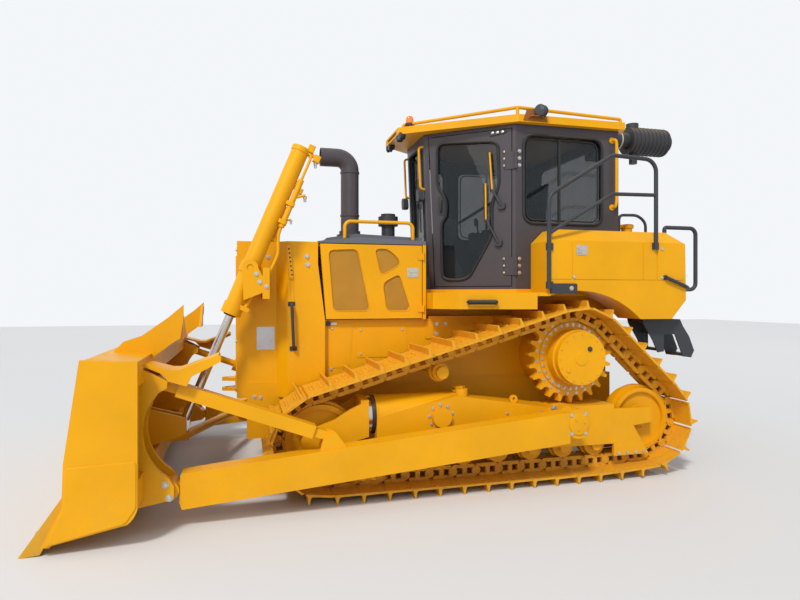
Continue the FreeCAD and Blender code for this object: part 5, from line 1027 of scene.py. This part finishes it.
def make_fender_trim(name, side):
    doors = Piece("fender_panels_" + name, "yellow", side=side)
    view = side_view(FENDER_SIDE)
    for x0, z0, x1, z1 in ((-0.560, 1.722, 0.112, 2.046), (-0.700, 1.722, -0.572, 2.046), (-0.985, 1.722, -0.712, 2.046)):
        doors.slab(view, rectangle(x0, z0, x1, z1, 0.008), -0.001, 0.0045, 0.0015)
    doors.slab(view, rectangle(0.124, 1.722, 0.322, 2.046, 0.008), -0.001, 0.0045, 0.0015)
    doors.done("yellow")
    plain_latch("fender_latch_" + name, 0.028, 1.966, FENDER_SIDE + 0.0045, "chassis", side)
    grip = Piece("deck_grip_" + name, "rubber", side=side)
    ends = [meet("fender_box_left", (x, 3.0, 1.530), (0, -1, 0)) for x in (0.982, 0.759)]
    line = [Vector(spot) + normal * 0.050 for spot, normal in ends]
    grip.rod([at(*line[0]), at(*line[1])], 0.021, sides=14)
    for spot, normal in ends:
        inward = Vector((0.965 - spot[0], 0, 0)) * 0.12
        grip.rod([at(*spot), at(*(Vector(spot) + normal * 0.052))], 0.013, sides=10)
    grip.done("black_plastic")
    leg = Piece("grab_rail_leg_" + name, "dark", side=side)
    leg.rod([at(-1.100, 1.090, 1.642), at(-1.045, 1.190, 1.650), at(-0.985, 1.224, 1.668), at(-0.790, 1.224, 1.742)],
            0.0155, 0.05, sides=12)
    leg.slab(side_view(FENDER_SIDE), rectangle(-0.812, 1.720, -0.768, 1.764, 0.02), -0.001, 0.012, 0.003)
    leg.done("black_paint")
    foot = Piece("rail_foot_" + name, "dark", side=side)
    foot.slab(side_view(FENDER_SIDE), rectangle(0.075, 1.600, 0.325, 1.685, 0.01), -0.001, 0.012, 0.003)
    foot.done("black_paint")
    bolts = Piece("fender_bolts_" + name, "zinc", side=side)
    bolts.bolt((0.130, FENDER_SIDE + 0.012, 1.645), (0, 1, 0), 0.015)
    for x, z in ((-0.760, 1.990), (-0.760, 1.740), (0.100, 1.740)):
        bolts.bolt((x, FENDER_SIDE + 0.0045, z), (0, 1, 0), 0.011)
    bolts.done("edge_steel")


def make_tank_trim():
    cap = Piece("filler_cap", "yellow")
    place = turned((-0.800, 0.640, 2.262), (0, 0, 1))
    cap.spin(place, [(0.060, -0.030), (0.062, -0.026), (0.062, 0.004), (0.055, 0.010), (0.020, 0.012)], 32)
    for a, b in circle(0.061, 16):
        cap.slab(lambda x, y, z, a=a, b=b: place(a + x, b + y, z), rectangle(-0.004, -0.004, 0.004, 0.004), -0.026, 0.002, 0.001)
    cap.done("yellow")
    loop = Piece("filler_hand_loop", "dark")
    ends = [meet("fuel_tank", (x, 0.750, 3.0), (0, 0, -1))[0] for x in (-0.640, -0.930)]
    loop.rod([at(*ends[0]), at(-0.640, 0.750, 2.345), at(-0.840, 0.750, 2.350), at(-0.930, 0.750, 2.285), at(*ends[1])], 0.014, 0.05)
    for end in ends:
        loop.spin(turned(end, (0, 0, 1)), [(0.030, -0.002), (0.030, 0.006)], 20)
    loop.done("black_paint")


def make_air_unit():
    """Ribs and clamps of the rear air unit."""
    ribs = Piece("air_unit_ribs", "plastic")
    axis = (-1, 0, 0)
    place = turned((-1.02, 0.350, 3.168), axis)
    for step in range(9):
        start = 0.012 + 0.046 * step
        ribs.spin(place, [(0.134, start), (0.141, start + 0.003), (0.141, start + 0.011), (0.134, start + 0.014)], 40)
    ribs.done("black_plastic")
    clamps = Piece("air_unit_clamps", "zinc")
    for x in (-0.700, -0.900):
        (_, _, z), _ = meet("rear_filter", (x, 0.350, 3.6), (0, 0, -1))
        radius = z - 3.168
        if 0.02 < radius < 0.2:
            clamps.spin(turned((x, 0.350, 3.168), axis), [(radius, 0.0), (radius + 0.004, 0.002), (radius + 0.004, 0.014), (radius, 0.016)], 36)
    clamps.done("edge_steel")


for name, sign in SIDES:
    make_fender_trim(name, sign)
make_tank_trim()
make_air_unit()


# Blade and push arms

BLADE_HALF = 1.700


def make_blade_bolts():
    """Countersunk plough bolts along the cutting edge and corner bits."""
    bolts = Piece("cutting_edge_bolts", "zinc", "blade_frame")
    for step in range(15):
        y = -1.61 + 0.23 * step
        spot, normal = meet("cutting_edge", (4.6, y, 0.130), (-1, 0, 0))
        bolts.spin(turned(spot, normal), [(0.021, -0.004), (0.021, 0.002), (0.012, 0.003)], 20)
        bolts.spin(turned(spot, normal), [(0.011, 0.001), (0.011, 0.006)], 4)
    bolts.done("edge_steel")


def make_arm_trim(name, side):
    bolts = Piece("arm_joint_bolts_" + name, "zinc", "blade_frame", side)
    for x, z in ((3.288, 0.325), (3.264, 0.235)):
        spot, normal = meet("blade", (x, 1.60, z), (0, -1, 0))
        bolts.bolt(spot, normal, 0.018)
    for x, z in ((0.130, 0.630), (0.250, 0.625), (0.130, 0.478), (0.250, 0.480)):
        spot, normal = meet("push_arm_left", (x, 3.0, z), (0, -1, 0))
        bolts.bolt(spot, normal, 0.013)
    bolts.done("edge_steel")
    end = Piece("arm_end_" + name, "yellow", "blade_frame", side)
    outline = [(2.95, 0.25), (2.95, 0.397), (3.018, 0.391), (3.200, 0.374), (3.206, 0.200), (3.190, 0.140), (3.05, 0.18)]
    end.slab(side_view(1.2735), softened(outline, 0.012), 0.0, 0.147, 0.005)
    end.done("yellow")
    cap = Piece("arm_trunnion_cap_" + name, "yellow", "blade_frame", side)
    cap.spin(turned((0.186, 1.4215, 0.554), (0, 1, 0)), [(0.088, 0.0), (0.086, 0.010), (0.060, 0.014)], 36)
    cap.bolt_ring((0.186, 1.435, 0.554), (0, 1, 0), 0.045, 3, 0.008)
    cap.done("yellow")


def make_end_wear_plate(name, side):
    """Doubled lower part of the blade's end plate, with its welded edge."""
    plate = Piece("end_wear_plate_" + name, "yellow", "blade_frame", side)
    outline = [(3.436, 0.544), (3.436, 0.262), (3.496, 0.172), (3.930, 0.078), (3.834, 0.296), (3.826, 0.530)]
    plate.slab(side_view(BLADE_HALF), softened(outline, 0.018), -0.001, 0.007, 0.003)
    bead = [side_view(BLADE_HALF)(x, z, 0.001) for x, z in softened(outline, 0.018)]
    plate.rod(bead, 0.0055, closed=True, sides=8)
    plate.done("yellow")


make_blade_bolts()
for name, sign in SIDES:
    make_arm_trim(name, sign)
    make_end_wear_plate(name, sign)


# Operator's seat and controls

SEAT_PADS = (
    # name, middle x, y, z, half sizes x, y, z, lean in degrees
    ("seat_base", 0.130, 0.0, 2.075, 0.225, 0.225, 0.055, 3.0),
    ("seat_back", -0.110, 0.0, 2.385, 0.055, 0.215, 0.245, -10.0),
    ("head_rest", -0.170, 0.0, 2.695, 0.040, 0.125, 0.060, -10.0),
)


def make_pad(name, x, y, z, half_x, half_y, half_z, lean):
    """Crowned cushion, swelled by a cloth simulation from a smaller rounded block."""
    block = Piece(name, "seat")
    turn = Matrix.Rotation(math.radians(-lean), 3, "Y")
    halves = Vector((half_x, half_y, half_z)) - Vector((0.016, 0.016, 0.016))
    thin = halves[:].index(min(halves))
    outline = rectangle(-1, -1, 1, 1)
    flat = [axis for axis in range(3) if axis != thin]
    wide, deep = halves[flat[0]], halves[flat[1]]

    def place(a, b, c):
        point = [0.0, 0.0, 0.0]
        point[flat[0]], point[flat[1]], point[thin] = a, b, c
        return at(x, y, z) + turn @ Vector(point)

    block.slab(place, softened([(-wide, -deep), (wide, -deep), (wide, deep), (-wide, deep)], 0.06, 5),
               -halves[thin], halves[thin], min(0.02, halves[thin] * 0.6))
    pad = block.done("seat_trim", 180.0)
    pad.data.remesh_voxel_size = 0.006
    remesh = pad.modifiers.new("even", "REMESH")
    remesh.mode = "VOXEL"
    remesh.voxel_size = pad.data.remesh_voxel_size
    swell(pad)
    return pad


def applied(obj):
    """Puts the result of an object's modifiers into its mesh."""
    graph = bpy.context.evaluated_depsgraph_get()
    made = bpy.data.meshes.new_from_object(obj.evaluated_get(graph))
    obj.modifiers.clear()
    obj.data = made
    made.shade_smooth()


def swell(pad, most=0.024):
    applied(pad)
    before = [vert.co.copy() for vert in pad.data.vertices]
    cloth_mod = pad.modifiers.new("swell", "CLOTH")
    cloth_mod.settings.use_pressure = True
    cloth_mod.settings.uniform_pressure_force = 4.0
    cloth_mod.settings.quality = 4
    cloth_mod.settings.effector_weights.gravity = 0.0
    for step in range(1, 17):
        bpy.context.scene.frame_set(step)
    applied(pad)
    bpy.context.scene.frame_set(1)
    for vert, start in zip(pad.data.vertices, before):
        move = vert.co - start
        if move.length > most:
            vert.co = start + move.normalized() * most
    finer = pad.modifiers.new("finer", "SUBSURF")
    finer.levels = finer.render_levels = 1


def make_seat():
    pads = [make_pad(*row) for row in SEAT_PADS]
    frame_piece = Piece("seat_frame", "interior")
    shell = lambda a, b, c: at(a, c, b)
    frame_piece.slab(shell, [(-0.215, 2.72), (-0.190, 2.72), (-0.115, 2.14), (-0.095, 2.03), (-0.125, 2.00), (-0.150, 2.03)], -0.19, 0.19, 0.006)
    frame_piece.slab(top_view(1.990), rectangle(-0.12, -0.21, 0.345, 0.21, 0.03), 0.0, 0.028, 0.006)
    for step in range(4):
        inset = 0.012 * (step % 2)
        frame_piece.slab(top_view(1.700 + 0.072 * step), rectangle(-0.03 + inset, -0.15 + inset, 0.27 - inset, 0.15 - inset, 0.03), 0.0, 0.070, 0.010)
    for s in (1, -1):
        frame_piece.rod([at(-0.165, s * 0.06, 2.56), at(-0.180, s * 0.06, 2.66)], 0.008)
    frame_piece.done("black_plastic")
    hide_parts("operator_seat")


def make_controls():
    """Levers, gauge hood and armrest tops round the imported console."""
    sticks = Piece("control_levers", "plastic")
    for y, lean in ((0.365, 0.02), (-0.365, 0.0)):
        sticks.rod([at(0.330, y, 2.255), at(0.345 + lean, y, 2.345)], 0.010)
        sticks.spin(turned((0.348 + lean, y, 2.335), (0.15, 0, 1)), [(0.014, 0.0), (0.022, 0.020), (0.024, 0.060), (0.016, 0.085), (0.006, 0.090)], 20)
    (_, _, top), _ = meet("console", (0.88, 0.0, 3.0), (0, 0, -1))
    sticks.slab(front_view(0.80), rectangle(-0.17, top - 0.005, 0.17, top + 0.07, 0.03), 0.0, 0.045, 0.010)
    sticks.done("black_plastic")
    rests = Piece("arm_rest_tops", "seat")
    for s in (1, -1):
        rests.slab(top_view(2.258), rectangle(-0.05, s * 0.31, 0.28, s * 0.42, 0.035), 0.0, 0.040, 0.014)
    rests.done("seat_trim")


make_seat()
make_controls()


# Floor, light and camera

def make_floor():
    bpy.ops.mesh.primitive_plane_add(size=60.0, location=(0, 0, 0))
    floor = bpy.context.object
    floor.name = "floor"
    material = bpy.data.materials.new("floor_pale")
    material.use_nodes = True
    tree = material.node_tree
    shader = tree.nodes["Principled BSDF"]
    grain = tree.nodes.new("ShaderNodeTexNoise")
    grain.inputs["Scale"].default_value = 3.0
    ramp = tree.nodes.new("ShaderNodeMapRange")
    ramp.inputs["To Min"].default_value = 0.62
    ramp.inputs["To Max"].default_value = 0.70
    tree.links.new(grain.outputs["Fac"], ramp.inputs["Value"])
    tree.links.new(ramp.outputs["Result"], shader.inputs["Base Color"])
    shader.inputs["Roughness"].default_value = 0.9
    floor.data.materials.append(material)


def make_world():
    world = bpy.data.worlds.new("studio")
    bpy.context.scene.world = world
    world.use_nodes = True
    tree = world.node_tree
    tree.nodes.clear()
    output = tree.nodes.new("ShaderNodeOutputWorld")
    lit = tree.nodes.new("ShaderNodeBackground")
    lit.inputs["Color"].default_value = (0.86, 0.92, 1.0, 1.0)
    lit.inputs["Strength"].default_value = 0.62
    seen = tree.nodes.new("ShaderNodeBackground")
    seen.inputs["Color"].default_value = (0.90, 0.92, 0.95, 1.0)
    seen.inputs["Strength"].default_value = 1.0
    path = tree.nodes.new("ShaderNodeLightPath")
    seen_by = path.outputs["Is Camera Ray"]
    for ray in ("Is Transmission Ray", "Is Glossy Ray"):
        either = tree.nodes.new("ShaderNodeMath")
        either.operation = "MAXIMUM"
        tree.links.new(seen_by, either.inputs[0])
        tree.links.new(path.outputs[ray], either.inputs[1])
        seen_by = either.outputs[0]
    mix = tree.nodes.new("ShaderNodeMixShader")
    tree.links.new(seen_by, mix.inputs[0])
    tree.links.new(lit.outputs[0], mix.inputs[1])
    tree.links.new(seen.outputs[0], mix.inputs[2])
    tree.links.new(mix.outputs[0], output.inputs["Surface"])


def make_lights():
    sun = bpy.data.lights.new("sun", "SUN")
    sun.energy = 2.3
    sun.angle = math.radians(9)
    sun.color = (1.0, 0.96, 0.90)
    holder = bpy.data.objects.new("sun", sun)
    bpy.context.scene.collection.objects.link(holder)
    holder.rotation_euler = Vector((-0.42, -0.62, -0.85)).to_track_quat("-Z", "Y").to_euler()
    soft = bpy.data.lights.new("soft", "AREA")
    soft.shape = "RECTANGLE"
    soft.size, soft.size_y = 9.0, 5.0
    soft.energy = 240.0
    holder = bpy.data.objects.new("soft", soft)
    bpy.context.scene.collection.objects.link(holder)
    holder.location = (6.0, 9.0, 6.5)
    holder.rotation_euler = (Vector((0, 0, 1.2)) - holder.location).to_track_quat("-Z", "Y").to_euler()


def make_camera():
    """The photograph's own place and direction, worked out from its straight lines."""
    camera = bpy.data.cameras.new("camera")
    camera.lens = 27.0
    camera.sensor_width = 36.0
    camera.shift_y = -3.0 / 800.0
    holder = bpy.data.objects.new("camera", camera)
    bpy.context.scene.collection.objects.link(holder)
    holder.location = at(2.7751, 5.7175, 1.572)
    look = Vector((-0.24979, -0.96830, 0.0))
    holder.rotation_euler = look.to_track_quat("-Z", "Y").to_euler()
    bpy.context.scene.camera = holder


make_floor()
make_world()
make_lights()
make_camera()
bpy.context.scene.view_settings.view_transform = "Standard"
